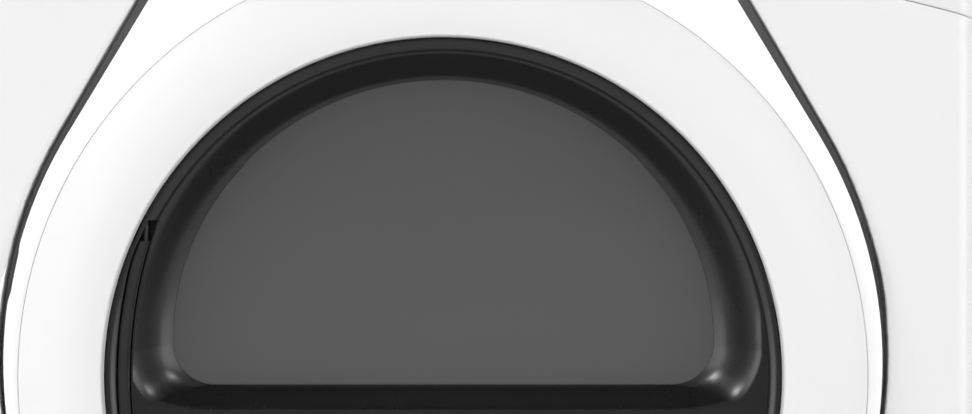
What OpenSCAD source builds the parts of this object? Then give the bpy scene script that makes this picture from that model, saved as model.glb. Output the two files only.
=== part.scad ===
// Front-loading tumble dryer, as an assembly of separate sub-parts.
// The origin is on the floor under the middle of the overall box, +Z is up and the front faces -Y.
// Inside the modules y = 0 is the outer face of the front panel and +y runs to the back.

/* [Cabinet] */
// Width of the cabinet
cab_w = 686; // [640:1:760]
// Height from the floor to the worktop
cab_h = 984; // [900:1:1100]
// Depth from the front panel's face to the back panel's face
cab_d = 716; // [640:1:900]
// Thickness of the steel sheets
sheet = 1.2; // [0.8:0.1:2.5]
// Height of the base pan above the floor
foot_h = 24; // [18:1:40]
// Radius of the cabinet's upright front edges
edge_r = 10; // [4:0.5:16]
// Height of the worktop's rim
top_rim = 28; // [20:1:40]

/* [Console] */
// Height of the middle of the console's lower edge
console_z = 822; // [810:1:840]
// Radius of the arch that the console's lower edge follows
console_arc = 1270; // [900:10:2000]
// Depth of the console shell
console_d = 60; // [45:1:70]
// Radius of the cycle knob
knob_r = 33; // [24:0.5:38]
// How far the knob stands out of the fascia
knob_out = 24; // [15:0.5:32]
// Travel of the push buttons
button_travel = 1.5; // [0.5:0.1:3]

/* [Door] */
// Height of the centre of the door's round ring
door_z = 545; // [535:1:560]
// Outer radius of the door's crowned ring
ring_r = 273; // [262:0.5:274]
// Inner radius of the door's ring
bowl_r = 218; // [205:0.5:230]
// How far the ring's crown stands out of the front panel
ring_out = 23; // [14:0.5:30]
// Radius of the round lower part of the door
door_r = 281.8; // [276:0.1:284]
// Lean of the door's upper sides from upright, in degrees
door_lean = 31.2; // [25:0.1:35]
// Gap between the door and the front panel at the widest point
door_gap = 4.5; // [3:0.1:8]
// Gap between the door's upper end and the console
neck_gap = 8; // [5:0.5:12]
// How far the door's flat border stands out of the front panel
door_out = 6; // [2:0.5:8]
// Thickness of the door's mouldings
door_wall = 3; // [2:0.5:4]
// Depth of the tray that the door sits in
recess_d = 44; // [42:1:48]
// Radius of the loading mouth
mouth_r = 212; // [208:0.5:213]
// Depth of the window behind the front panel's face
window_y = 32; // [28:1:40]
// Largest angle that the door opens to, in degrees
door_open = 90; // [60:1:90]

/* [Drum] */
// Outer radius of the drum
drum_r = 315; // [290:1:318]
// Height of the drum's axis
drum_z = 560; // [555:1:575]
// Height of the drum's lifting baffles
baffle_h = 62; // [30:1:80]
// Radius of the support rollers
roller_r = 35; // [25:1:40]

/* [Drive and air] */
// Radius of the motor's belt pulley
pulley_r = 10; // [7:0.5:16]
// Radius of the idler pulley
idler_r = 28; // [20:1:32]
// Radius of the blower wheel
blower_r = 82; // [70:1:84]
// Outer radius of the exhaust pipe
exhaust_r = 50.8; // [45:0.1:52]
// Length of the exhaust collar behind the back panel
collar_len = 42; // [30:1:60]

/* [Fits] */
// Radial running clearance of a pin in its bore
pin_fit = 0.06; // [0.02:0.01:0.1]
// Clearance between fixed pieces that lie side by side
seat = 0.3; // [0.1:0.05:0.6]
// Clearance between a turning drum and what holds it
run_gap = 0.5; // [0.3:0.1:1]

/* [Hidden] */
$fn = 96;
ring_gap = 0.5;
half_w = cab_w / 2;
front_most = max(ring_out, knob_out + 5);
panel_y = -(cab_d + collar_len - front_most) / 2;

base_z = foot_h;
pan_y = 8;
panel_z = foot_h + 3;
top_z = cab_h - top_rim;
arc_z = console_z - console_arc;
console_top = top_z - seat;
flange_d = 22;

door_lift = 9.2;
open_r = door_r + door_gap;
open_lift = door_lift + 3.9;
open_lean = door_lean - 0.9;
door_foot = ring_r + 10;
open_foot = door_foot + door_gap + 0.3;
plate_back = -door_out + door_wall;
flange_y = 22;
flange_t = 2.5;
skirt_t = 2.5;
recess_t = 2;
plug_r = mouth_r - 12;
plug_y = 62;
bulk_y = recess_d + 42;
bulk_t = 1.2;

hinge_x = door_r - 31.8;
hinge_y = -1;
hinge_dz = 60;
hinge_z = door_z;
knuckle_r = 6.5;
hinge_pin_r = 2.5;
knuckle_h = 12;
knuckle_gap = 0.4;
bracket_h = 8.6;
bracket_lean = 115;
bracket_reach = 48;
slot_half = knuckle_h / 2 + knuckle_gap + bracket_h + 4;
arm_back = 27;
arm_half = 15;

win_top_r = 180.4;
win_top_z = 10.8;
win_side_r = 162.5;
win_side_x = 12.5;
win_side_z = 22.7;
win_corner_r = 27;
win_foot = -6.2;
eye_z = 34;
mouth_z = door_z + win_top_z;

grip_arc_r = 300;
grip_x = -200.4;
grip_w = 10.1;
grip_half = 100.4;
grip_reach = bowl_r - 3.5;
lever_gap = 0.9;
lever_half = 87;
lever_y = 12;
lever_t = 4;
lever_pin_x = -191.3;
lever_pin_y = 14.2;
lever_pin_r = 1.8;
pocket_floor = 18.8;

bowl_lip = 9;
shelf_y = 8;
wall_w = 31;
foot_w = 16;
ring_lip = 2.6;
ring_lip_d = 4.4;

strike_x = -236;
strike_w = 6;
strike_h = 34;
strike_end = recess_d + 9;
switch_x = -226;
switch_z = door_z + 62;
plunger_r = 3;

drum_front = bulk_y + 12;
drum_back = cab_d - 84;
rear_y = cab_d - 76;
tube_r = drum_r - 25;
lip_r = drum_r - 21.5;
seal_w = 10;
roller_angle = 32;
roller_w = 22;
roller_y = drum_back - 36;
roller_c = drum_r + roller_r + run_gap;
shaft_r = 5;

motor_x = 60;
motor_z = 135;
motor_y = 215;
motor_len = 150;
motor_r = 66;
rotor_r = 6;
pulley_y = motor_y + motor_len + 30;
belt_w = 10;
belt_t = 2;
idler_x = -15;
idler_z = 165;
arm_x = -20;
arm_z = 100;
blower_y = 110;
blower_d = 76;
scroll_r = blower_r + 15;
pipe_x = -90;
pipe_z = 104;
pipe_t = 1.2;

duct_half = 125;
duct_y0 = recess_d + 6;
duct_y1 = bulk_y - seat;
duct_z = 90;
screen_y = plug_y + 5;
screen_t = 8;
screen_half = 112;
screen_h = 170;
screen_top = mouth_z - mouth_r + 2;

fascia_half = 215;
fascia_z = 892;
fascia_h = 92;
knob_z = fascia_z;
button_r = 11;
start_x = 165;
power_x = -165;

foot_x = half_w - 43;
foot_y = 45;
stud_r = 6;

mains_x = -230;
mains_z = 860;
inlet_r = 11.1;

// Shared functions

function arc(cx, cz, r, a0, a1, n) =
  [for (i = [0:n]) let (a = a0 + (a1 - a0) * i / n) [cx + r * cos(a), cz + r * sin(a)]];
function mirrored(pts) = [for (i = [len(pts) - 1:-1:0]) [-pts[i][0], pts[i][1]]];
function smooth(t) = let (u = min(1, max(0, t))) u * u * (3 - 2 * u);
function profile(pts) = [for (p = pts) [p[0], -p[1]]];
// x of an upper side's straight line at height z, for a round of radius r lifted to cz
function side_x(r, cz, lean, z) = (r - (z - cz) * sin(lean)) / cos(lean);
// height of the console's arch at x, moved down by d
function arch_z(x, d) = arc_z + sqrt(pow(console_arc - d, 2) - x * x);
// where an upper side meets the arch that is moved down by d
function neck_x(r, cz, lean, d, n = 8, x = 180) =
  n == 0 ? x : neck_x(r, cz, lean, d, n - 1, side_x(r, cz, lean, arch_z(x, d)));

// Right half of a door-shaped outline, from the bottom to the top
function pear_half(r, lift, lean, foot, d) =
  let (cz = door_z + lift, nx = neck_x(r, cz, lean, d),
       b = foot + lift, top_a = asin(nx / (console_arc - d)))
  concat(
    [for (i = [0:32]) let (a = -90 + 90 * i / 32) [r * cos(a), cz + b * sin(a)]],
    [for (i = [1:12]) let (a = lean * i / 12) [r * cos(a), cz + r * sin(a)]],
    [for (i = [0:10]) let (a = top_a * (1 - i / 10))
      [(console_arc - d) * sin(a), arc_z + (console_arc - d) * cos(a)]]);
function pear(r, lift, lean, foot, d) =
  let (h = pear_half(r, lift, lean, foot, d), n = len(h))
  concat([for (i = [0:n - 1]) h[i]], [for (i = [n - 2:-1:1]) [-h[i][0], h[i][1]]]);

// Window outline about the ring's centre, grown by g
function window_half(g) =
  let (cx = win_side_x + win_side_r - win_corner_r, cz = win_foot + win_corner_r,
       join = atan2(win_side_z - win_top_z, win_side_x))
  concat(
    [for (i = [0:18]) [(eye_z - win_foot) * tan(atan2(cx * 0.99, eye_z - win_foot) * i / 18), win_foot - g]],
    arc(cx, cz, win_corner_r + g, -90, 0, 10),
    [for (i = [1:10]) let (a = join * i / 10)
      [win_side_x + (win_side_r + g) * cos(a), win_side_z + (win_side_r + g) * sin(a)]],
    [for (i = [1:14]) let (a = join + (90 - join) * i / 14)
      [(win_top_r + g) * cos(a), win_top_z + (win_top_r + g) * sin(a)]]);
function window_outline(g) =
  let (h = window_half(g), n = len(h))
  concat([for (i = [0:n - 1]) h[i]], [for (i = [n - 2:-1:1]) [-h[i][0], h[i][1]]]);

// Tangent direction of a belt's run from circle a to circle b, each [x, z, signed radius]
function run_angle(a, b) =
  atan2(b[1] - a[1], b[0] - a[0]) - asin((b[2] - a[2]) / norm([b[0] - a[0], b[1] - a[1]]));
function wrap(c, a0, a1, n) =
  let (turn = c[2] > 0 ? (a1 - a0 < 0 ? a1 - a0 + 360 : a1 - a0) : (a1 - a0 > 0 ? a1 - a0 - 360 : a1 - a0))
  [for (i = [0:n]) let (a = a0 + turn * i / n - 90) [c[0] + c[2] * cos(a), c[1] + c[2] * sin(a)]];
function belt_loop(grow) =
  let (drum = [0, drum_z, drum_r + run_gap + grow],
       idler = [idler_x, idler_z, -(idler_r + belt_t + 2 * seat) + grow],
       motor = [motor_x, motor_z, pulley_r + seat + grow],
       to_idler = run_angle(drum, idler), to_motor = run_angle(idler, motor),
       to_drum = run_angle(motor, drum))
  concat(wrap(drum, to_drum, to_idler, 90), wrap(idler, to_idler, to_motor, 12),
         wrap(motor, to_motor, to_drum, 20));

// Shared shapes

// A flat outline in x and z, between two depths
module slab(y0, y1) translate([0, y1, 0]) rotate([90, 0, 0]) linear_extrude(y1 - y0) children();
// A profile of [radius, y] points turned about the y axis
module turned(pts) rotate([90, 0, 0]) rotate_extrude() polygon(profile(pts));
module disc(x, z, r, y0, y1, fn = 96) translate([x, y1, z]) rotate([90, 0, 0]) cylinder(r = r, h = y1 - y0, $fn = fn);
module tube(x, z, r0, r1, y0, y1) difference() {
  disc(x, z, r1, y0, y1);
  disc(x, z, r0, y0 - 1, y1 + 1);
}
module box(x0, x1, y0, y1, z0, z1) translate([x0, y0, z0]) cube([x1 - x0, y1 - y0, z1 - z0]);
// A plan outline with rounded front corners, from the front face back to depth d
module plan(inset, d, r) union() {
  translate([-half_w + r, inset]) square([cab_w - 2 * r, d - inset]);
  translate([-half_w + inset, r]) square([cab_w - 2 * inset, d - r]);
  for (s = [-1, 1]) translate([s * (half_w - r), r]) circle(r = r - inset);
}
// The space above the console's arch, moved down by d
module above_arch(d) slab(-40, cab_d) polygon(concat(
  [for (i = [-16:16]) let (x = (half_w + 5) * i / 16) [x, arch_z(x, d)]],
  [[half_w + 5, cab_h + 50], [-half_w - 5, cab_h + 50]]));
module door_shape(grow, y0, y1) slab(y0, y1)
  polygon(pear(door_r + grow, door_lift, door_lean, door_foot + grow, neck_gap - grow));
module opening_shape(grow, d, y0, y1) slab(y0, y1)
  polygon(pear(open_r + grow, open_lift, open_lean, open_foot + grow, d));
module window_shape(grow, y0, y1) slab(y0, y1) translate([0, door_z]) polygon(window_outline(grow));
module screw(x, y, z, turn, r = 4) translate([x, y, z]) rotate(turn) union() {
  cylinder(r = r, h = 2.2, $fn = 24);
  translate([0, 0, -8]) cylinder(r = r * 0.45, h = 8.2, $fn = 24);
}

// Cabinet

module base_pan() color("silver") difference() {
  union() {
    difference() {
      box(-half_w + 3, half_w - 3, pan_y, cab_d - 3, base_z, base_z + 26);
      box(-half_w + 3 + sheet, half_w - 3 - sheet, pan_y + sheet, cab_d - 3 - sheet, base_z + sheet, base_z + 30);
    }
    for (x = [-foot_x, foot_x], y = [foot_y, cab_d - foot_y])
      translate([x, y, base_z]) cylinder(r = 14, h = 10);
  }
  for (x = [-foot_x, foot_x], y = [foot_y, cab_d - foot_y])
    translate([x, y, base_z - 1]) cylinder(r = stud_r + pin_fit, h = 20);
}

module side_panel(s) color("white") mirror([s < 0 ? 1 : 0, 0, 0]) union() {
  box(half_w - sheet, half_w, flange_d + seat, cab_d, panel_z, top_z - seat);
  box(half_w - 16, half_w - sheet, cab_d - sheet, cab_d, panel_z, top_z - seat);
  box(half_w - 14, half_w - sheet, flange_d + 4, flange_d + 4 + sheet, 60, 740);
}

module back_panel() color("gainsboro") difference() {
  union() {
    box(-half_w + 16 + seat, half_w - 16 - seat, cab_d - sheet, cab_d, panel_z, top_z - seat);
    for (z = [200, 300, 400]) box(-160, 160, cab_d, cab_d + 2, z, z + 14);
  }
  disc(pipe_x, pipe_z, exhaust_r + 1, cab_d - 5, cab_d + 5);
  disc(mains_x, mains_z - 85, inlet_r, cab_d - 5, cab_d + 5, 64);
  box(mains_x - 32, mains_x + 32, cab_d - 5, cab_d + 5, mains_z - 22, mains_z + 22);
  for (i = [0:9]) box(110, 290, cab_d - 5, cab_d + 5, 480 + i * 24, 488 + i * 24);
}

module top_panel() color("white") difference() {
  translate([0, 0, top_z]) linear_extrude(top_rim) plan(0, cab_d, edge_r);
  translate([0, 0, top_z - 1]) linear_extrude(top_rim + 1 - sheet) translate([0, 0]) plan(sheet, cab_d - sheet, edge_r);
}

module front_panel() color("white") difference() {
  translate([0, 0, panel_z]) linear_extrude(console_z - panel_z) plan(0, flange_d, edge_r);
  translate([0, 0, panel_z - 1]) linear_extrude(console_z - panel_z + 2) plan(sheet, flange_d + 5, edge_r);
  above_arch(ring_gap);
  opening_shape(0, -30, -5, sheet + 5);
}

module door_recess() color("dimgray") difference() {
  union() {
    difference() {
      opening_shape(recess_t, 1, sheet + seat, recess_d + recess_t);
      opening_shape(0, 1 + recess_t, -1, recess_d);
    }
    disc(0, mouth_z, mouth_r + recess_t, recess_d, bulk_y);
  }
  disc(0, mouth_z, mouth_r, -1, bulk_y + 1);
  box(-screen_half - 3, screen_half + 3, screen_y - 1.5, screen_y + screen_t + 1.5, mouth_z - mouth_r - 40, mouth_z - 100);
  box(strike_x - strike_w / 2 - 4, strike_x + strike_w / 2 + 4, 30, 60, door_z - strike_h / 2 - 4, door_z + strike_h / 2 + 4);
  disc(switch_x, switch_z, plunger_r + 0.4, 30, 60, 48);
}

module console_shell() color("white") difference() {
  translate([0, 0, 700]) linear_extrude(console_top - 700) plan(0, console_d, edge_r);
  difference() {
    translate([0, 0, 690]) linear_extrude(console_top - 690 - 2) plan(2.5, console_d + 5, edge_r);
    difference() {
      box(-half_w, half_w, -1, console_d, 600, console_z + 3);
      above_arch(-2.5);
    }
  }
  difference() {
    box(-half_w - 5, half_w + 5, -5, cab_d, 600, console_z + 50);
    above_arch(0);
  }
  fascia_prism(seat, -5, 10);
  box(-half_w - 1, half_w + 1, flange_d, console_d + 1, 600, console_top - 140);
  for (m = [0, 1]) mirror([m, 0, 0]) box(half_w - 3, half_w + 1, flange_d, console_d + 1, 600, cab_h);
}

module fascia_prism(grow, y0, y1) slab(y0, y1) union() {
  translate([-fascia_half + fascia_h / 2, fascia_z - fascia_h / 2 - grow])
    square([2 * fascia_half - fascia_h, fascia_h + 2 * grow]);
  for (s = [-1, 1]) translate([s * (fascia_half - fascia_h / 2), fascia_z]) circle(r = fascia_h / 2 + grow);
}

module console_fascia() color("black") difference() {
  union() {
    fascia_prism(0, -2, 2);
    fascia_prism(-4, 1, 6);
  }
  disc(0, knob_z, 6 + 0.5, -5, 10, 48);
  for (x = [start_x, power_x]) disc(x, fascia_z, button_r + 0.4, -5, 10, 48);
  box(62, 132, -5, 1, fascia_z - 17, fascia_z + 17);
}

module display_window() color("darkslategray") box(62 + seat, 132 - seat, -2, 1 - seat, fascia_z - 17 + seat, fascia_z + 17 - seat);

module control_board() color("darkgreen") union() {
  box(-190, 190, 24, 25.6, fascia_z - 42, fascia_z + 42);
  for (x = [-120, -60, 80, 130]) box(x, x + 26, 25.6, 36, fascia_z - 12, fascia_z + 16);
  for (x = [-180, 180], z = [fascia_z - 36, fascia_z + 36]) disc(x, z, 3, 6 + seat, 24, 24);
}

// Bulkheads and drum

module front_bulkhead() color("lightgray") difference() {
  union() {
    box(-half_w + 6, half_w - 6, bulk_y, bulk_y + bulk_t, 60, 940);
    disc(0, drum_z, tube_r, bulk_y, drum_front + 24);
  }
  difference() {
    disc(0, drum_z, tube_r - 2, bulk_y + bulk_t, drum_front + 30);
    difference() {
      disc(0, drum_z, tube_r, bulk_y + bulk_t, drum_front + 10);
      box(-200, 200, bulk_y, drum_front + 20, mouth_z - mouth_r - 6, 950);
      box(-400, 400, bulk_y, drum_front + 20, door_z - 120, 950);
      box(-duct_half - 1000, -duct_half - 15, bulk_y, drum_front + 20, 0, 950);
      box(duct_half + 15, 1000, bulk_y, drum_front + 20, 0, 950);
    }
  }
  disc(0, mouth_z, mouth_r + recess_t + seat, bulk_y - 5, bulk_y + 60);
  for (i = [-8:8]) box(i * 13 - 4, i * 13 + 4, bulk_y - 5, bulk_y + 60, mouth_z - mouth_r - 52, mouth_z - mouth_r - 10);
  disc(110, 800, 12 + seat, bulk_y - 5, bulk_y + 10, 48);
  box(-half_w, half_w, bulk_y - 5, bulk_y + 5, 50, 58);
  disc(motor_x, motor_z, 60, bulk_y - 5, bulk_y + 5);
  for (x = [-60, 60]) box(x - 3, x + 3, bulk_y - 5, bulk_y + 60, 10, 20);
}

module rear_bulkhead() color("lightgray") difference() {
  union() {
    box(-half_w + 6, half_w - 6, rear_y, rear_y + bulk_t, 190, 940);
    tube(0, drum_z, tube_r - 2, tube_r, drum_back - 20, rear_y + 1);
  }
  for (ring = [0:3], i = [0:9 + 4 * ring])
    let (a = 360 * i / (10 + 4 * ring), r = 24 + 17 * ring)
    disc(150 + r * cos(a), drum_z + 10 + r * sin(a), 4, rear_y - 5, rear_y + 5, 24);
  for (s = [-1, 1]) disc(s * roller_c * sin(roller_angle), drum_z - roller_c * cos(roller_angle), shaft_r, rear_y - 5, rear_y + 5, 48);
}

module drum_seals() color("beige") union() {
  tube(0, drum_z, tube_r + 0.1, lip_r - run_gap, drum_front + 24 - seal_w, drum_front + 24);
  tube(0, drum_z, tube_r + 0.1, lip_r - run_gap, drum_back - 20, drum_back - 20 + seal_w);
}

module drum_shell() color("lightsteelblue") difference() {
  union() {
    tube(0, drum_z, drum_r - sheet, drum_r, drum_front, drum_back);
    tube(0, drum_z, lip_r, drum_r - 0.1, drum_front + 17, drum_front + 17 + sheet);
    tube(0, drum_z, lip_r, drum_r - 0.1, drum_back - 16, drum_back - 16 + sheet);
  }
}

// Section of a lifting baffle, shrunk by g inside its skin
function baffle_section(g) = concat(
  arc(0, 0, drum_r - sheet - 0.25, 82 + g, 98 - g, 8),
  [[-24 + g, drum_r - baffle_h + 20], [-17 + g, drum_r - baffle_h + 5 + g], [-9, drum_r - baffle_h + g],
   [9, drum_r - baffle_h + g], [17 - g, drum_r - baffle_h + 5 + g], [24 - g, drum_r - baffle_h + 20]]);
module drum_baffles() color("white") for (i = [0:2]) translate([0, 0, drum_z]) rotate([0, i * 120 + 60, 0])
  difference() {
    slab(drum_front + 45, drum_back - 40) polygon(baffle_section(0));
    slab(drum_front + 48, drum_back - 43) translate([0, 0.5]) polygon(baffle_section(2.5));
  }

module roller_shafts() color("silver") for (s = [-1, 1])
  disc(s * roller_c * sin(roller_angle), drum_z - roller_c * cos(roller_angle), shaft_r, roller_y - 4, rear_y + bulk_t + 3, 48);

module roller(s) color("dimgray") translate([s * roller_c * sin(roller_angle), 0, drum_z - roller_c * cos(roller_angle)]) difference() {
  union() {
    disc(0, 0, roller_r, roller_y, roller_y + roller_w);
    disc(0, 0, 9, roller_y - 2, roller_y + roller_w + 4);
  }
  disc(0, 0, shaft_r + pin_fit, roller_y - 5, roller_y + roller_w + 10, 48);
  tube(0, 0, 13, roller_r - 7, roller_y - 1, roller_y + 5);
}

// Drive and air path

module drum_belt() color("black") slab(pulley_y + 5, pulley_y + 5 + belt_w) difference() {
  polygon(belt_loop(belt_t));
  polygon(belt_loop(0));
}

module motor_housing() color("gray") difference() {
  union() {
    disc(motor_x, motor_z, motor_r, motor_y + 14, motor_y + motor_len - 14);
    disc(motor_x, motor_z, motor_r - 8, motor_y, motor_y + motor_len);
  }
  disc(motor_x, motor_z, rotor_r + pin_fit, motor_y - 5, motor_y + motor_len + 5, 48);
  for (i = [0:7]) translate([motor_x, 0, motor_z]) rotate([0, i * 45, 0]) box(-6, 6, motor_y + 1, motor_y + 8, motor_r - 26, motor_r - 16);
}

module motor_mount() color("silver") difference() {
  union() {
    box(-45, 130, motor_y + 4, pulley_y - 8, base_z + sheet, base_z + sheet + 2);
    for (y = [motor_y + 20, motor_y + motor_len - 26]) box(motor_x - 40, motor_x + 40, y, y + 3, base_z + sheet, motor_z - 40);
    box(arm_x - 12, arm_x + 12, pulley_y - 11, pulley_y - 8, base_z + sheet, arm_z + 10);
    disc(arm_x, arm_z, 4, pulley_y - 9, pulley_y + 4, 48);
  }
  disc(motor_x, motor_z, motor_r + seat, motor_y - 5, motor_y + motor_len + 5);
}

module motor_rotor() color("silver") union() {
  disc(motor_x, motor_z, rotor_r, blower_y + 18, pulley_y + 22, 48);
  difference() {
    disc(motor_x, motor_z, pulley_r + 3, pulley_y + 1, pulley_y + 19, 48);
    tube(motor_x, motor_z, pulley_r, pulley_r + 5, pulley_y + 4, pulley_y + 16);
  }
}

module blower_wheel() color("dimgray") difference() {
  union() {
    disc(motor_x, motor_z, blower_r, blower_y + 58, blower_y + 61);
    tube(motor_x, motor_z, blower_r - 16, blower_r, blower_y + 8, blower_y + 10);
    disc(motor_x, motor_z, 16, blower_y + 30, blower_y + 60, 48);
    for (i = [0:23]) translate([motor_x, 0, motor_z]) rotate([0, i * 15, 0]) box(-1, 1, blower_y + 9, blower_y + 59, blower_r - 15, blower_r - 1);
  }
  disc(motor_x, motor_z, rotor_r, blower_y + 20, blower_y + 70, 48);
}

module blower_housing() color("lightgray") difference() {
  union() {
    disc(motor_x, motor_z, scroll_r, blower_y, blower_y + blower_d);
    box(pipe_x - exhaust_r - 3, motor_x, blower_y, blower_y + blower_d, base_z + sheet + 1, pipe_z + exhaust_r + 3);
  }
  disc(motor_x, motor_z, scroll_r - 2.5, blower_y + 2.5, blower_y + blower_d - 2.5);
  box(pipe_x - exhaust_r - 0.5, motor_x, blower_y + 2.5, blower_y + blower_d - 2.5, base_z + sheet + 3.5, pipe_z + exhaust_r + 0.5);
  disc(motor_x, motor_z, 58, blower_y - 5, blower_y + 10);
  disc(motor_x, motor_z, 20, blower_y + 60, blower_y + blower_d + 5, 48);
  disc(pipe_x, pipe_z, exhaust_r - 0.8 - pipe_t, blower_y + 60, blower_y + blower_d + 5);
}

module exhaust_duct() color("silver") difference() {
  union() {
    disc(pipe_x, pipe_z, exhaust_r - 0.8, blower_y + blower_d, cab_d + 1);
    disc(pipe_x, pipe_z, exhaust_r, cab_d + 0.5, cab_d + collar_len);
  }
  disc(pipe_x, pipe_z, exhaust_r - 0.8 - pipe_t, blower_y, cab_d + collar_len + 1);
}

module idler_arm() color("silver") difference() {
  union() {
    flat_bar(arm_x, arm_z, idler_x, idler_z, 12, pulley_y - 7, pulley_y - 4);
    disc(idler_x, idler_z, 4, pulley_y - 5, pulley_y + 20, 48);
    disc(arm_x, arm_z, 9, pulley_y - 7, pulley_y + 3, 48);
  }
  disc(arm_x, arm_z, 4 + pin_fit, pulley_y - 20, pulley_y + 20, 48);
}
// A flat bar with round ends between two points
module flat_bar(x0, z0, x1, z1, r, y0, y1) union() {
  length = norm([x1 - x0, z1 - z0]);
  disc(x0, z0, r, y0, y1, 48);
  disc(x1, z1, r, y0, y1, 48);
  translate([x0, 0, z0]) rotate([0, -atan2(z1 - z0, x1 - x0), 0]) box(0, length, y0, y1, -0.8 * r, 0.8 * r);
}

module idler_pulley() color("dimgray") difference() {
  union() {
    disc(idler_x, idler_z, idler_r, pulley_y + 1, pulley_y + 19);
  }
  disc(idler_x, idler_z, 4 + pin_fit, pulley_y - 5, pulley_y + 30, 48);
  tube(idler_x, idler_z, 9, idler_r - 5, pulley_y, pulley_y + 5);
}

module lint_duct() color("lightgray") difference() {
  box(-duct_half, duct_half, duct_y0, duct_y1, duct_z, mouth_z - mouth_r - 4);
  box(-duct_half + 2, duct_half - 2, duct_y0 + 2, duct_y1 - 2, duct_z + 2, mouth_z - mouth_r + 5);
  box(-duct_half + 4, duct_half - 4, duct_y0 + 10, duct_y1 + 5, mouth_z - mouth_r - 56, mouth_z - mouth_r - 7);
  disc(motor_x, motor_z, 42, duct_y0 + 10, duct_y1 + 5);
  disc(0, mouth_z, mouth_r + recess_t + seat, duct_y0 - 5, duct_y1 + 5);
}

module lint_screen() color("lightblue") union() {
  difference() {
    box(-screen_half, screen_half, screen_y, screen_y + screen_t, screen_top - screen_h, screen_top);
    for (i = [0:3]) box(-screen_half + 6 + i * 55.5, -screen_half + 6 + i * 55.5 + 48, screen_y - 1, screen_y + screen_t - 1.5, screen_top - screen_h + 6, screen_top - 20);
    disc(0, mouth_z, mouth_r - 1, screen_y - 5, screen_y + 0.01);
  }
  difference() {
    box(-40, 40, screen_y, screen_y + screen_t, screen_top - 1, screen_top + 16);
    box(-30, 30, screen_y - 1, screen_y + screen_t + 1, screen_top + 2, screen_top + 10);
  }
}

module heater_box() color("silver") difference() {
  box(60, 240, rear_y + bulk_t, rear_y + 66, drum_z - 110, drum_z + 150);
  box(60 + 1.5, 240 - 1.5, rear_y + bulk_t - 1, rear_y + 64, drum_z - 108, drum_z + 148);
  for (i = [0:4]) box(80, 220, rear_y + 60, rear_y + 70, drum_z - 95 + i * 14, drum_z - 89 + i * 14);
}

module heater_coil() color("sienna") for (i = [0:5]) union() {
  translate([76, rear_y + 34, drum_z - 30 + i * 26]) rotate([0, 90, 0]) cylinder(r = 7, h = 148, $fn = 32);
  translate([72, rear_y + 34, drum_z - 30 + i * 26]) rotate([0, 90, 0]) cylinder(r = 3, h = 156, $fn = 24);
}

module safety_thermostats() color("silver") {
  for (z = [drum_z + 60, drum_z + 110]) translate([240, rear_y + 34, z]) rotate([0, 90, 0]) union() {
    cylinder(r = 12, h = 8, $fn = 48);
    translate([0, 0, 8]) cylinder(r = 8, h = 8, $fn = 48);
  }
  translate([motor_x - 30, 0, 0]) disc(0, motor_z + 50, 11, blower_y + blower_d, blower_y + blower_d + 14, 48);
}

module mains_terminal() color("silver") {
  difference() {
    box(mains_x - 60, mains_x + 60, cab_d, cab_d + 16, mains_z - 62, mains_z + 62);
    box(mains_x - 60 + sheet, mains_x + 60 - sheet, cab_d - 1, cab_d + 16 - sheet, mains_z - 64, mains_z + 62 - sheet);
  }
  difference() {
    box(mains_x - 30, mains_x + 30, cab_d - 24, cab_d + 6, mains_z - 20, mains_z + 20);
    for (x = [-1, 1]) box(mains_x + x * 10 - 1, mains_x + x * 10 + 1, cab_d + 1, cab_d + 7, mains_z - 21, mains_z + 21);
  }
}

module moisture_bars() color("silver") for (z = [-1, 1])
  box(-60, 60, drum_front + 10 + 0.05, drum_front + 12.5, mouth_z - mouth_r - 58 + z * 3 - 2, mouth_z - mouth_r - 58 + z * 3);

module drum_light() color("lightyellow") union() {
  disc(110, 800, 12, bulk_y - 1, bulk_y + bulk_t + 4, 48);
  disc(110, 800, 15, bulk_y - 12, bulk_y - seat, 48);
}

module cabinet_screws() color("silver") {
  for (x = [-310, -150, 150, 310], z = [60, 500, 930]) screw(x, cab_d + 0.05, z, [-90, 0, 0]);
}

module leveling_foot(sx, back) color("dimgray") translate([sx * foot_x, back ? cab_d - foot_y : foot_y, 0]) union() {
  cylinder(r = 20, h = 3);
  translate([0, 0, 3]) cylinder(r1 = 20, r2 = 14, h = 7);
  translate([0, 0, 10]) cylinder(r = 12, h = 6, $fn = 6);
  translate([0, 0, 15]) cylinder(r = stud_r, h = 45, $fn = 48);
  translate([0, 0, 17.5]) cylinder(r = 10, h = base_z - 17.5 - 0.05, $fn = 6);
}

// Door

module hinge_cut(y0, y1) for (s = [-1, 1])
  box(hinge_x - 24, open_r + 5, y0, y1, hinge_z + s * hinge_dz - slot_half, hinge_z + s * hinge_dz + slot_half);

module door_frame() color("white") difference() {
  door_shape(0, -door_out, flange_y - seat);
  difference() {
    door_shape(-skirt_t, plate_back, flange_y + 5);
    tube(0, door_z, ring_r, ring_r + 3, plate_back - 1, 5);
  }
  disc(0, door_z, ring_r, -door_out - 5, flange_y + 5, 180);
  hinge_cut(plate_back, flange_y + 5);
  slab(-door_out - 1, 10) polygon([[-door_r - 5, door_z + 51], [-door_r - 5, door_z + 82],
    [-door_r + 11.1, door_z + 82], [-door_r + 3.9, door_z + 51]]);
}

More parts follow.
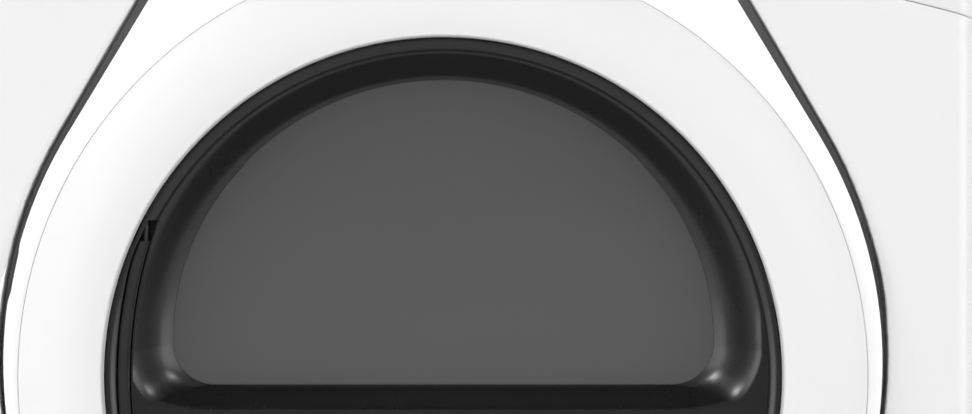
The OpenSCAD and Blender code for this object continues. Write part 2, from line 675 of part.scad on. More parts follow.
function ring_y(t) = -door_out - (ring_out - door_out) * pow(sin(min(1, t) * 118), 0.8);
function ring_x(t) = ring_r - ring_gap - t * (ring_r - ring_gap - bowl_r - ring_lip);
module door_ring() color("white") difference() {
  translate([0, 0, door_z]) turned(ring_profile());
  hinge_cut(plate_back, flange_y);
}
function ring_profile() = concat(
  [[ring_r - ring_gap, -door_out]],
  [for (i = [1:22]) let (t = i / 22) [ring_x(t), ring_y(t)]],
  [for (i = [1:8]) let (a = 90 * i / 8) [bowl_r + ring_lip * (1 - sin(a)), ring_y(1) + ring_lip_d * (1 - cos(a))]],
  [[bowl_r, 2], [bowl_r + door_wall, 2], [bowl_r + door_wall, ring_y(1) + ring_lip_d + 2]],
  [for (i = [20:-1:1]) let (t = i / 22) [min(ring_r - ring_gap - door_wall, ring_x(t)), ring_y(t) + door_wall]],
  [[ring_r - ring_gap - door_wall, 4], [ring_r - ring_gap, 4]]);

// Depth of the bowl's face at a share t of the way from the window up its wall
function bowl_y(t) = window_y - (window_y - shelf_y) * (0.5 * t + 0.5 * pow(smooth(t), 1.3));
// Width of the wall at a window point q with a length span of bowl outside it
function bowl_w(q, span) =
  min(span, q[1] < win_foot + win_corner_r ? foot_w + (wall_w - foot_w) * smooth((abs(q[0]) - 120) / 45) : wall_w);
// A point of the bowl's rim in the direction of a window point, seen from a point above the window's foot
function rim_point(p, r) =
  let (o = [0, eye_z], v = p - o, l = norm(v), u = v / l, b = u * o)
  o + u * (-b + sqrt(b * b - o * o + r * r));
bowl_steps = [0, 0.15, 0.3, 0.45, 0.6, 0.75, 0.88, 1];
function bowl_ring(k, back) =
  let (outline = window_outline(0), n = len(outline), rim = bowl_r - bowl_lip, last = len(bowl_steps))
  [for (i = [0:n - 1]) let (q = outline[i], p = rim_point(q, rim), span = norm(p - q), w = 0.98 * bowl_w(q, span),
       at = k < last ? q + (p - q) * bowl_steps[k] * w / span : k == last ? p : p * (bowl_r - 0.8) / rim,
       y = k < last ? bowl_y(bowl_steps[k]) : k == last ? shelf_y : shelf_y / 2)
    [at[0], y + back, door_z + at[1]]];
module door_bowl() color([0.1, 0.1, 0.1]) difference() {
  n = len(window_outline(0));
  rows = len(bowl_steps) + 2;
  points = concat([for (k = [0:rows - 1]) each bowl_ring(k, 0)], [for (k = [rows - 1:-1:0]) each bowl_ring(k, door_wall)]);
  all_rows = 2 * rows;
  polyhedron(points, [for (k = [0:all_rows - 1], i = [0:n - 1]) each
    let (a = k * n + i, b = k * n + (i + 1) % n, c = ((k + 1) % all_rows) * n + (i + 1) % n, d = ((k + 1) % all_rows) * n + i)
    [[a, b, c], [a, c, d]]]);
  slab(-10, pocket_floor - 1) grip_band(grip_x, grip_w, grip_half, grip_reach);
}

module door_window() color([0.3, 0.3, 0.3, 0.8]) window_shape(7, window_y + door_wall + seat, window_y + door_wall + seat + 3);

module door_liner() color("whitesmoke") difference() {
  union() {
    door_shape(-0.5, flange_y, flange_y + flange_t);
    disc(0, mouth_z, plug_r, flange_y, plug_y);
  }
  disc(0, mouth_z, plug_r - 2.5, flange_y - 1, plug_y - 2.5);
  window_shape(2, flange_y, plug_y + 5);
  hinge_cut(flange_y - 5, flange_y + 5);
}

module door_seal() color("gray") turned([
  [mouth_r - 8, flange_y + flange_t + 0.05], [mouth_r + 6, flange_y + flange_t + 0.05], [mouth_r + 6, flange_y + flange_t + 5],
  [mouth_r + 9, recess_d - 3], [mouth_r + 7, recess_d - seat], [mouth_r + 2, recess_d - seat - 1], [mouth_r - 8, flange_y + flange_t + 4]]);

module hinge_side(s) translate([hinge_x, hinge_y, hinge_z + s * hinge_dz]) children();
module hinge_barrel(z0, z1) difference() {
  translate([0, 0, z0]) cylinder(r = knuckle_r, h = z1 - z0, $fn = 48);
  translate([0, 0, z0 - 1]) cylinder(r = hinge_pin_r + pin_fit, h = z1 - z0 + 2, $fn = 48);
}
module hinge_arms() color("silver") for (s = [-1, 1]) hinge_side(s) difference() {
  union() {
    translate([0, 0, -knuckle_h / 2]) cylinder(r = knuckle_r, h = knuckle_h, $fn = 48);
    box(-arm_back, -2, -knuckle_r, -knuckle_r + 3, -knuckle_h / 2, knuckle_h / 2);
    box(-arm_back - 3, -arm_back, -knuckle_r, flange_y - hinge_y, -arm_half, arm_half);
    box(-arm_back - 15, -arm_back, flange_y - hinge_y - 3, flange_y - hinge_y, -arm_half, arm_half);
  }
  translate([0, 0, -20]) cylinder(r = hinge_pin_r + pin_fit, h = 40, $fn = 48);
}
module hinge_brackets() color("silver") for (s = [-1, 1]) hinge_side(s) {
  low = knuckle_h / 2 + knuckle_gap;
  difference() {
    union() {
      for (t = [-1, 1]) {
        z0 = t > 0 ? low : -low - bracket_h;
        translate([0, 0, z0]) cylinder(r = knuckle_r, h = bracket_h, $fn = 48);
        translate([0, 0, z0]) rotate([0, 0, bracket_lean]) translate([0, -2, 0]) cube([bracket_reach, 4, bracket_h]);
      }
      rotate([0, 0, bracket_lean]) translate([18, -2, -low - 1]) cube([bracket_reach - 18, 4, 2 * low + 2]);
      box(-26, -4, recess_d - 3 - hinge_y, recess_d - hinge_y, -low - bracket_h, low + bracket_h);
    }
    translate([0, 0, -40]) cylinder(r = hinge_pin_r, h = 80, $fn = 48);
    box(-100, 100, recess_d - hinge_y, 100, -50, 50);
  }
}
module hinge_pins() color("silver") for (s = [-1, 1]) hinge_side(s)
  translate([0, 0, -knuckle_h / 2 - knuckle_gap - bracket_h]) cylinder(r = hinge_pin_r, h = knuckle_h + 2 * (knuckle_gap + bracket_h), $fn = 48);

module door_strike() color("silver") union() {
  box(strike_x - 14, strike_x + 14, flange_y + flange_t, flange_y + flange_t + 2, door_z - 24, door_z + 24);
  box(strike_x - strike_w / 2, strike_x + strike_w / 2, flange_y + flange_t + 1, strike_end, door_z - strike_h / 2, door_z + strike_h / 2);
}
module door_catch() color("white") difference() {
  box(strike_x - 20, strike_x + 20, recess_d + recess_t, recess_d + recess_t + 16, door_z - 30, door_z + 30);
  box(strike_x - strike_w / 2 - 2, strike_x + strike_w / 2 + 2, recess_d, recess_d + recess_t + 12, door_z - strike_h / 2 - 2, door_z + strike_h / 2 + 2);
}
module door_switch_body() color("white") difference() {
  box(switch_x - 10, switch_x + 10, recess_d + recess_t, recess_d + recess_t + 20, switch_z - 14, switch_z + 14);
  disc(switch_x, switch_z, plunger_r + pin_fit, recess_d - 5, recess_d + recess_t + 12, 48);
}
module door_switch_plunger() color("black") disc(switch_x, switch_z, plunger_r, flange_y + flange_t + 0.4, recess_d + recess_t + 8, 48);

module door_screws() color("silver") for (i = [0:9]) let (a = i * 36 + 18, x = 240 * cos(a), z = door_z + 240 * sin(a))
  if (abs(x - strike_x) > 22 || abs(z - door_z) > 40) if (x < hinge_x - 30 || abs(abs(z - hinge_z) - hinge_dz) > slot_half + 6)
    screw(x, flange_y + flange_t + 0.05, z, [-90, 0, 0], 3.5);

// A band of even width w left of the grip's arc, which crosses the door's middle at x = edge, inside a circle of radius reach
module grip_band(edge, w, half, reach) translate([0, door_z]) intersection() {
  circle(r = reach);
  difference() {
    translate([edge - w + grip_arc_r, 0]) circle(r = grip_arc_r);
    translate([edge + grip_arc_r, 0]) circle(r = grip_arc_r);
  }
  translate([edge - w - 5, -half]) square([60, 2 * half]);
}
module handle_pocket() color([0.12, 0.12, 0.12]) difference() {
  union() {
    slab(pocket_floor, pocket_floor + 2) grip_band(grip_x + 2.5, grip_w + 5, grip_half + 3, bowl_r + 1);
    for (s = [-1, 1]) box(lever_pin_x - 3, lever_pin_x + 3, shelf_y + door_wall + seat, pocket_floor + 1, door_z + s * (lever_half + 8) - 3, door_z + s * (lever_half + 8) + 3);
  }
  for (s = [-1, 1]) translate([lever_pin_x, lever_pin_y, door_z + s * (lever_half + 8) - 6]) cylinder(r = lever_pin_r + pin_fit, h = 12, $fn = 48);
}
module handle_lever() color([0.16, 0.16, 0.16]) union() {
  slab(lever_y, lever_y + lever_t) grip_band(grip_x - lever_gap, grip_w - 2 * lever_gap, lever_half, grip_reach - lever_gap);
  for (s = [-1, 1]) translate([lever_pin_x, lever_pin_y, door_z + s * (lever_half + 4.5) - 7.5]) cylinder(r = lever_pin_r, h = 15, $fn = 48);
}

// Controls

module cycle_knob() color("silver") union() {
  disc(0, knob_z, knob_r, -knob_out - 5 + 3, -3);
  disc(0, knob_z, knob_r - 2, -knob_out - 5, -knob_out - 1);
  disc(0, knob_z, 6, -4, 20, 48);
}
module push_button(x) color("white") union() {
  disc(x, fascia_z, button_r, -4.5, 7, 48);
  disc(x, fascia_z, 4, 6, 14, 48);
}

module placed() translate([0, panel_y, 0]) children();

placed() base_pan();
placed() side_panel(-1);  // left_side_panel
placed() side_panel(1);  // right_side_panel
placed() back_panel();
placed() top_panel();
placed() front_panel();
placed() door_recess();
placed() front_bulkhead();
placed() rear_bulkhead();
placed() drum_seals();
placed() console_shell();
placed() console_fascia();
placed() display_window();
placed() control_board();
placed() door_catch();
placed() door_switch_body();
placed() door_switch_plunger();
placed() hinge_brackets();
placed() hinge_pins();
placed() roller_shafts();
placed() drum_belt();
placed() motor_housing();
placed() motor_mount();
placed() blower_housing();
placed() exhaust_duct();
placed() heater_box();
placed() heater_coil();
placed() safety_thermostats();
placed() mains_terminal();
placed() moisture_bars();
placed() drum_light();
placed() cabinet_screws();
placed() lint_duct();
placed() door_frame();
placed() door_ring();
placed() door_bowl();
placed() door_window();
placed() door_liner();
placed() translate([0, 0, mouth_z]) door_seal();
placed() hinge_arms();
placed() door_strike();
placed() door_screws();
placed() handle_pocket();
placed() handle_lever();
placed() drum_shell();
placed() drum_baffles();
placed() roller(-1);  // rear_left_roller
placed() roller(1);  // rear_right_roller
placed() motor_rotor();
placed() blower_wheel();
placed() idler_arm();
placed() idler_pulley();
placed() lint_screen();
placed() cycle_knob();
placed() push_button(start_x);  // start_button
placed() push_button(power_x);  // power_button
placed() leveling_foot(-1, false);  // front_left_foot
placed() leveling_foot(1, false);  // front_right_foot
placed() leveling_foot(-1, true);  // rear_left_foot
placed() leveling_foot(1, true);  // rear_right_foot
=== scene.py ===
import math

import bpy
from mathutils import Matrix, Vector


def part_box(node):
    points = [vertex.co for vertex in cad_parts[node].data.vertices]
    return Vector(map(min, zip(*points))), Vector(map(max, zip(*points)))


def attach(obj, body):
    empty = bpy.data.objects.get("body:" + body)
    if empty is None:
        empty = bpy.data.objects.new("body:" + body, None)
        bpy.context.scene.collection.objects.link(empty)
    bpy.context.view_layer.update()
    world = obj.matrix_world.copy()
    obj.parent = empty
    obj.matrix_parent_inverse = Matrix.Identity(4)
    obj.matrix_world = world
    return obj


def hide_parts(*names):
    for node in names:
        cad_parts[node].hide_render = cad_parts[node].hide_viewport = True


bl_info = {
    "name": "Clothes Dryer",
    "version": (1, 0, 0),
    "blender": (4, 5, 0),
    "location": "3D View > Sidebar > Dryer",
    "description": "Builds the visible pieces of a front-loading tumble dryer around its frame",
    "category": "Object",
}

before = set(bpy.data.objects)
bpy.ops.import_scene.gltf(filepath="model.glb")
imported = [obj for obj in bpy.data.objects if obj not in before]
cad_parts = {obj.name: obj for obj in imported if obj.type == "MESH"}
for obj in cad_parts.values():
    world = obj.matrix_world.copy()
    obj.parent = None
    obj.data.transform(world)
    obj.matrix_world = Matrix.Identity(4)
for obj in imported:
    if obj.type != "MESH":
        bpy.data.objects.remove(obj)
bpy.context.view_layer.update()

panel_low, panel_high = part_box("front_panel")
ring_low, ring_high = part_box("door_ring")
console_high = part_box("console_shell")[1]
top_low, top_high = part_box("top_panel")
fascia_low, fascia_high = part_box("console_fascia")
knob_low, knob_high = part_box("cycle_knob")
back_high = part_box("back_panel")[1]
FRONT = panel_low[1]
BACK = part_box("left_side_panel")[1][1]


# ---------------------------------------------------------------- sizes and colours

def length(name, description, default):
    """A length property in metres."""
    return bpy.props.FloatProperty(name=name, description=description, default=default, unit="LENGTH",
                                   min=0.0, max=3.0, precision=5)


def angle(name, description, degrees):
    """An angle property whose default is given in degrees."""
    return bpy.props.FloatProperty(name=name, description=description, default=math.radians(degrees),
                                   subtype="ANGLE")


def colour(name, description, default):
    """A colour property with red, green and blue."""
    return bpy.props.FloatVectorProperty(name=name, description=description, default=default, subtype="COLOR",
                                         size=3, min=0.0, max=1.0)


class DryerCabinetSizes(bpy.types.PropertyGroup):
    """Sizes of the cabinet's sheets."""
    half_width: length("Half width", "Half of the cabinet's width", panel_high[0])
    edge: length("Edge radius", "Radius of the upright front edges", 0.014)
    side_depth: length("Side depth", "How far the front sheet wraps round the sides", 0.022)
    sheet: length("Sheet", "Thickness of the front sheet", 0.0012)
    arch_radius: length("Arch radius", "Radius of the console's lower edge", 1.27)
    arch_height: length("Arch height", "Height of the middle of the console's lower edge", 0.822)
    seam: length("Seam", "Gap between the console and the front sheet", 0.0003)


class DryerDoorSizes(bpy.types.PropertyGroup):
    """Sizes of the door and of the opening that it lies in."""
    ring_radius: length("Ring radius", "Outer radius of the crowned ring", ring_high[0])
    bowl_radius: length("Bowl radius", "Inner radius of the crowned ring", 0.218)
    ring_height: length("Ring height", "Height of the ring's centre", (ring_low[2] + ring_high[2]) / 2)
    crown: length("Crown", "How far the ring stands out of the front sheet", 0.023)
    plate_out: length("Plate out", "How far the door's flat border stands out", 0.006)
    plate_radius: length("Plate radius", "Radius of the round part of the door", 0.2818)
    plate_lift: length("Plate lift", "Height of the plate's centre above the ring's", 0.0092)
    plate_lean: angle("Plate lean", "Lean of the plate's upper sides", 31.2)
    plate_foot: length("Plate foot", "From the ring's centre down to the plate's lowest point", 0.283)
    open_radius: length("Opening radius", "Radius of the round part of the opening", 0.2863)
    open_lift: length("Opening lift", "Height of the opening's centre above the ring's", 0.0131)
    open_lean: angle("Opening lean", "Lean of the opening's upper sides", 30.3)
    open_foot: length("Opening foot", "From the ring's centre down to the opening's lowest point", 0.2878)
    neck_gap: length("Neck gap", "From the console's edge down to the door", 0.008)
    skirt: length("Skirt", "Depth of the door's rim behind the front sheet's face", 0.0217)
    window_depth: length("Window depth", "Depth of the window behind the front sheet's face", 0.032)
    window_foot: length("Window foot", "From the ring's centre down to the window's lower edge", 0.0062)


class DryerConsoleSizes(bpy.types.PropertyGroup):
    """Sizes of the controls on the console."""
    fascia_half: length("Fascia half width", "Half of the fascia's width", fascia_high[0])
    fascia_height: length("Fascia height", "Height of the fascia's middle",
                          (fascia_low[2] + fascia_high[2]) / 2)
    knob_radius: length("Knob radius", "Radius of the cycle knob", knob_high[0])
    button_radius: length("Button radius", "Radius of the push buttons", 0.011)
    ticks: bpy.props.IntProperty(name="Ticks", description="Number of printed ticks round the knob",
                                 default=20, min=4, max=60)
    ridges: bpy.props.IntProperty(name="Ridges", description="Number of ridges on the knob's rim", default=48,
                                  min=12, max=90)


class DryerColours(bpy.types.PropertyGroup):
    """Colours of the finishes."""
    # Partly painted light: the plate's white is set lighter than the ring's and the cabinet's, partly a
    # whiter plastic and partly standing in for the extra light that the flat plate catches.
    plate: colour("Door plate", "White of the door's flat border", (0.93, 0.93, 0.93))
    ring: colour("Door ring", "White of the crowned ring", (0.755, 0.755, 0.755))
    cabinet: colour("Cabinet", "White of the enamelled sheets", (0.765, 0.765, 0.765))
    bowl: colour("Bowl", "Black of the door's bowl", (0.004, 0.004, 0.004))
    # Partly painted reflection: the window's grey is the smoked glass's tint made lighter to stand in for the
    # room that the glass reflects.
    window: colour("Window", "Grey of the smoked window", (0.066, 0.066, 0.066))


def sizes():
    """The cabinet's and the door's sizes in this scene."""
    return bpy.context.scene.dryer_cabinet, bpy.context.scene.dryer_door


# ---------------------------------------------------------------- modelling helpers

def deselect():
    """Leaves nothing selected and no edit mode open."""
    if bpy.context.object and bpy.context.object.mode != "OBJECT":
        bpy.ops.object.mode_set(mode="OBJECT")
    bpy.ops.object.select_all(action="DESELECT")


def only(piece):
    """Selects one piece and makes it active."""
    deselect()
    piece.select_set(True)
    bpy.context.view_layer.objects.active = piece


def edit(piece):
    """Opens a piece in edit mode with nothing selected."""
    only(piece)
    bpy.ops.object.mode_set(mode="EDIT")
    bpy.ops.mesh.select_all(action="DESELECT")


def pick(piece, kind, test):
    """Selects the vertices, edges or faces that pass a test, from edit mode."""
    bpy.ops.mesh.select_mode(type={"verts": "VERT", "edges": "EDGE", "faces": "FACE"}[kind])
    bpy.ops.mesh.select_all(action="DESELECT")
    bpy.ops.object.mode_set(mode="OBJECT")
    mesh = piece.data
    if kind == "verts":
        for v in mesh.vertices:
            v.select = test(v.co)
    elif kind == "edges":
        for e in mesh.edges:
            a, b = (mesh.vertices[i].co for i in e.vertices)
            e.select = test(a, b)
    else:
        for f in mesh.polygons:
            f.select = test(f.center, f.normal)
    bpy.ops.object.mode_set(mode="EDIT")


def halfway(low, high, axis):
    """The middle of a box along one axis."""
    return (low[axis] + high[axis]) / 2


def named(name):
    """Names the object that an operator just added."""
    piece = bpy.context.object
    piece.name = name
    piece.data.name = name
    return piece


def settle(piece):
    """Puts a piece's place, turn and size into its mesh."""
    only(piece)
    bpy.ops.object.transform_apply(location=True, rotation=True, scale=True)
    return piece


def facing(piece, toward=(0, -1, 0)):
    """Makes the faces of a piece point the same way, the furthest one towards a direction."""
    edit(piece)
    bpy.ops.mesh.select_all(action="SELECT")
    bpy.ops.mesh.normals_make_consistent(inside=False)
    bpy.ops.object.mode_set(mode="OBJECT")
    way = Vector(toward)
    aligned = max(piece.data.polygons, key=lambda f: round(f.center.dot(way), 5)
                  + 1e-3 * abs(f.normal.dot(way)))
    if aligned.normal.dot(way) < 0:
        piece.data.flip_normals()
    return piece


def smooth(piece, degrees=35):
    """Smooth shading, with edges sharper than an angle left sharp."""
    only(piece)
    bpy.ops.object.shade_smooth_by_angle(angle=math.radians(degrees))
    return piece


def apply_modifier(piece, kind, **values):
    """Adds a modifier and applies it."""
    only(piece)
    modifier = piece.modifiers.new(kind.title(), kind)
    for key, value in values.items():
        setattr(modifier, key, value)
    bpy.ops.object.modifier_apply(modifier=modifier.name)
    return piece


def thicken(piece, thickness):
    """Gives a skin its wall, inwards."""
    return apply_modifier(piece, "SOLIDIFY", thickness=thickness, offset=-1.0)


def soften(piece, width, segments=2, degrees=40):
    """Rounds a closed piece's sharp edges."""
    return apply_modifier(piece, "BEVEL", width=width, segments=segments, limit_method="ANGLE",
                          angle_limit=math.radians(degrees), harden_normals=False)


def cut(piece, cutter):
    """Cuts one closed piece out of another."""
    apply_modifier(piece, "BOOLEAN", operation="DIFFERENCE", object=cutter, solver="MANIFOLD")
    bpy.data.objects.remove(cutter, do_unlink=True)
    return piece


def joined(name, pieces):
    """Joins pieces into one."""
    deselect()
    for piece in pieces:
        piece.select_set(True)
    bpy.context.view_layer.objects.active = pieces[0]
    bpy.ops.object.join()
    return named(name)


def loops_skin(name, loops, closed=True):
    """A skin through loops of points, each with as many points as the others."""
    across, along = len(loops), len(loops[0])
    deselect()
    bpy.ops.mesh.primitive_grid_add(x_subdivisions=along if closed else along - 1, y_subdivisions=across - 1,
                                    size=1)
    piece = named(name)
    columns = along + 1 if closed else along
    for row in range(across):
        for column in range(columns):
            piece.data.vertices[row * columns + column].co = loops[row][column % along]
    edit(piece)
    bpy.ops.mesh.select_all(action="SELECT")
    bpy.ops.mesh.remove_doubles(threshold=1e-6)
    bpy.ops.object.mode_set(mode="OBJECT")
    return piece


def outline_loop(name, points):
    """A wire loop through points, started as a circle."""
    deselect()
    bpy.ops.mesh.primitive_circle_add(vertices=len(points), radius=1, fill_type="NOTHING")
    piece = named(name)
    for vertex, point in zip(piece.data.vertices, points):
        vertex.co = point
    return piece


def spun(piece, steps, centre, axis):
    """Spins a wire loop a full turn about an axis, and closes its seams and poles."""
    edit(piece)
    bpy.ops.mesh.select_all(action="SELECT")
    bpy.ops.mesh.spin(steps=steps, angle=math.tau, center=centre, axis=axis, dupli=False)
    bpy.ops.mesh.select_all(action="SELECT")
    bpy.ops.mesh.remove_doubles(threshold=1e-6)
    bpy.ops.mesh.dissolve_degenerate(threshold=1e-6)
    bpy.ops.mesh.delete_loose(use_verts=True, use_edges=True, use_faces=False)
    bpy.ops.mesh.normals_make_consistent(inside=False)
    bpy.ops.object.mode_set(mode="OBJECT")
    return piece


def turned(name, profile, x=0.0, z=0.0, steps=128):
    """A closed profile of (radius, y) points spun about an axis along y."""
    return spun(outline_loop(name, [(x + r, y, z) for r, y in profile]), steps, (x, 0, z), (0, 1, 0))


def turned_up(name, profile, x=0.0, y=0.0, steps=48):
    """A closed profile of (radius, z) points spun about an upright axis."""
    return spun(outline_loop(name, [(x + r, y, z) for r, z in profile]), steps, (x, y, 0), (0, 0, 1))


def slab(name, outline, y0, y1, edge=0.0, segments=3):
    """An outline of (x, z) points pushed from y0 to y1, with rounded rims."""
    piece = outline_loop(name, [(x, y0, z) for x, z in outline])
    edit(piece)
    bpy.ops.mesh.select_all(action="SELECT")
    bpy.ops.mesh.edge_face_add()
    bpy.ops.mesh.extrude_region_move(TRANSFORM_OT_translate={"value": (0, y1 - y0, 0)})
    bpy.ops.mesh.select_all(action="SELECT")
    bpy.ops.mesh.normals_make_consistent(inside=False)
    if edge:
        pick(piece, "edges", lambda a, b: abs(a.y - b.y) < 1e-7)
        bpy.ops.mesh.bevel(offset=edge, segments=segments, affect="EDGES", clamp_overlap=True)
    bpy.ops.object.mode_set(mode="OBJECT")
    return piece


def brick(name, low, high, edge=0.0, segments=2):
    """A cube primitive between two corners, with bevelled edges."""
    deselect()
    bpy.ops.mesh.primitive_cube_add(size=1)
    piece = named(name)
    piece.scale = [h - l for l, h in zip(low, high)]
    piece.location = [(l + h) / 2 for l, h in zip(low, high)]
    settle(piece)
    if edge:
        edit(piece)
        bpy.ops.mesh.select_all(action="SELECT")
        bpy.ops.mesh.bevel(offset=edge, segments=segments, affect="EDGES")
        bpy.ops.object.mode_set(mode="OBJECT")
    return piece


def copied(piece, move):
    """A copy of a piece, moved in its mesh."""
    only(piece)
    bpy.ops.object.duplicate(linked=False)
    copy = bpy.context.object
    copy.location = move
    return settle(copy)


def ring_points(x, z, radius, count=48):
    """Outline of a circle."""
    return arc_points(x, z, radius, 0, 360 * (count - 1) / count, count - 1)


def spoke(x, z, angle, inner, outer, half):
    """Outline of a radial bar about a centre."""
    along, across = (math.sin(angle), math.cos(angle)), (math.cos(angle), -math.sin(angle))
    return [(x + along[0] * r + across[0] * w, z + along[1] * r + across[1] * w)
            for r, w in ((inner, -half), (outer, -half), (outer, half), (inner, half))]


def rounded_box(x0, z0, x1, z1, radius, count=6):
    """Outline of a rectangle with round corners."""
    corners = ((x1 - radius, z1 - radius, 0), (x0 + radius, z1 - radius, 90), (x0 + radius, z0 + radius, 180),
               (x1 - radius, z0 + radius, 270))
    return [p for x, z, start in corners for p in arc_points(x, z, radius, start, start + 90, count)]


def arc_points(cx, cz, radius, start, stop, count):
    """Points on an arc, angles in degrees."""
    step = (stop - start) / count
    return [(cx + radius * math.cos(math.radians(start + step * i)),
             cz + radius * math.sin(math.radians(start + step * i)))
            for i in range(count + 1)]


def stadium(x0, x1, z, half, count=16):
    """Outline of a bar with round ends."""
    return arc_points(x1 - half, z, half, -90, 90, count) + arc_points(x0 + half, z, half, 90, 270, count)


def both_sides(half):
    """A closed outline from its right half, which runs from bottom to top."""
    return half + [(-x, z) for x, z in reversed(half) if x > 1e-6]


def ease(t):
    """Smooth step from 0 to 1."""
    t = min(1.0, max(0.0, t))
    return t * t * (3 - 2 * t)


# ---------------------------------------------------------------- outlines of the front

def arch_z(x, down=0.0):
    """Height of the console's lower edge at x, moved down by a distance."""
    cabinet = sizes()[0]
    centre = cabinet.arch_height - cabinet.arch_radius
    return centre + math.sqrt((cabinet.arch_radius - down) ** 2 - x * x)


def pear_half(radius, lift, lean, foot, down, corner=0.0):
    """Right half of a door-shaped outline, from the bottom to the top, its neck corner rounded."""
    cabinet, door = sizes()
    middle = door.ring_height + lift
    depth = foot + lift

    def side(z):
        return (radius - (z - middle) * math.sin(lean)) / math.cos(lean)

    neck = 0.18
    for _ in range(12):
        neck = side(arch_z(neck, down))
    top = math.asin(neck / (cabinet.arch_radius - down))
    points = [(radius * math.cos(a), middle + depth * math.sin(a))
              for a in (math.radians(-90 + 90 * i / 72) for i in range(73))]
    points += [(radius * math.cos(a), middle + radius * math.sin(a))
               for a in (lean * i / 20 for i in range(1, 21))]
    last = Vector(points[-1])
    tip = Vector((neck, arch_z(neck, down)))
    run = tip - last
    points += [tuple(last + run * (i / 12)) for i in range(1, 12)]
    if corner:
        before = tip - run.normalized() * corner
        after = Vector((neck - corner, arch_z(neck - corner, down)))
        cut_off = (before - last).length
        points = [p for p in points if (Vector(p) - last).length < cut_off or p[1] < last.y + 1e-6]
        points += [tuple(before.lerp(tip, t).lerp(tip.lerp(after, t), t)) for t in (i / 8 for i in range(9))]
        top = math.asin(after.x / (cabinet.arch_radius - down))
    else:
        points.append(tuple(tip))
    reach = cabinet.arch_radius - down
    centre = cabinet.arch_height - cabinet.arch_radius
    points += [(reach * math.sin(a), centre + reach * math.cos(a))
               for a in (top * (1 - i / 24) for i in range(1, 25))]
    return points


def door_outline(grow=0.0):
    """The door plate's outline, grown by a distance."""
    door = sizes()[1]
    return both_sides(pear_half(door.plate_radius + grow, door.plate_lift, door.plate_lean,
                                door.plate_foot + grow,
                                door.neck_gap - grow, corner=0.012))


def opening_half(grow=0.0, down=-0.02):
    """Right half of the opening in the front sheet."""
    door = sizes()[1]
    return pear_half(door.open_radius + grow, door.open_lift, door.open_lean, door.open_foot + grow, down)


WINDOW_CORNER = 0.027
BOWL_EYE = 0.034


def window_half(grow=0.0):
    """Right half of the window's outline about the ring's centre, from the bottom to the top."""
    door = sizes()[1]
    top_r, top_z = 0.1804, 0.0108
    side_r, side_x, side_z = 0.1625, 0.0125, 0.0227
    corner, foot, eye = WINDOW_CORNER, -door.window_foot, BOWL_EYE
    cx, cz = side_x + side_r - corner, foot + corner
    meet = math.degrees(math.atan2(side_z - top_z, side_x))
    spread = math.atan2(cx * 0.995, eye - foot)
    points = [((eye - foot) * math.tan(spread * i / 40), foot - grow) for i in range(41)]
    points += arc_points(cx, cz, corner + grow, -90, 0, 24)
    points += arc_points(side_x, side_z, side_r + grow, 0, meet, 30)[1:]
    points += arc_points(0, top_z, top_r + grow, meet, 90, 44)[1:]
    return points


def window_outline(grow=0.0):
    """The window's closed outline in the row frame."""
    height = sizes()[1].ring_height
    return [(x, z + height) for x, z in both_sides(window_half(grow))]


def along_ray(outline, centre, way):
    """Distance from a centre to an outline along a direction."""
    best = None
    for (x0, z0), (x1, z1) in zip(outline, outline[1:]):
        dx, dz = x1 - x0, z1 - z0
        cross = way[0] * dz - way[1] * dx
        if abs(cross) < 1e-12:
            continue
        ax, az = x0 - centre[0], z0 - centre[1]
        t = (ax * dz - az * dx) / cross
        u = (ax * way[1] - az * way[0]) / cross
        if -1e-6 <= u <= 1 + 1e-6 and t > 0 and (best is None or t < best):
            best = t
    return best


# ---------------------------------------------------------------- materials

def node_group(name, inputs, outputs, build):
    """A shader node group with named sockets, built once."""
    if name in bpy.data.node_groups:
        return bpy.data.node_groups[name]
    tree = bpy.data.node_groups.new(name, "ShaderNodeTree")
    for label, kind, value in inputs:
        socket = tree.interface.new_socket(name=label, in_out="INPUT", socket_type=kind)
        if value is not None:
            socket.default_value = value
    for label, kind in outputs:
        tree.interface.new_socket(name=label, in_out="OUTPUT", socket_type=kind)
    source, sink = tree.nodes.new("NodeGroupInput"), tree.nodes.new("NodeGroupOutput")
    build(tree, source, sink)
    return tree


def add(tree, kind, **values):
    """Adds a node and sets its properties and sockets: names in capitals are sockets."""
    node = tree.nodes.new(kind)
    for key, value in values.items():
        if key in node.bl_rna.properties:
            setattr(node, key, value)
        else:
            node.inputs[key.replace("_", " ")].default_value = value
    return node


def math_node(tree, operation, a, b):
    """A Math node fed by sockets or numbers."""
    node = tree.nodes.new("ShaderNodeMath")
    node.operation = operation
    for socket, value in zip(node.inputs, (a, b)):
        if isinstance(value, (int, float)):
            socket.default_value = value
        else:
            tree.links.new(value, socket)
    return node.outputs[0]


def shade_mix(tree, factor, a, b):
    """Mixes two colours, given as sockets or as values."""
    node = tree.nodes.new("ShaderNodeMix")
    node.data_type = "RGBA"
    for socket, value in ((node.inputs[0], factor), (node.inputs[6], a), (node.inputs[7], b)):
        if isinstance(value, (int, float)):
            socket.default_value = value
        elif isinstance(value, (tuple, list)):
            socket.default_value = (*value[:3], 1)
        else:
            tree.links.new(value, socket)
    return node.outputs[2]


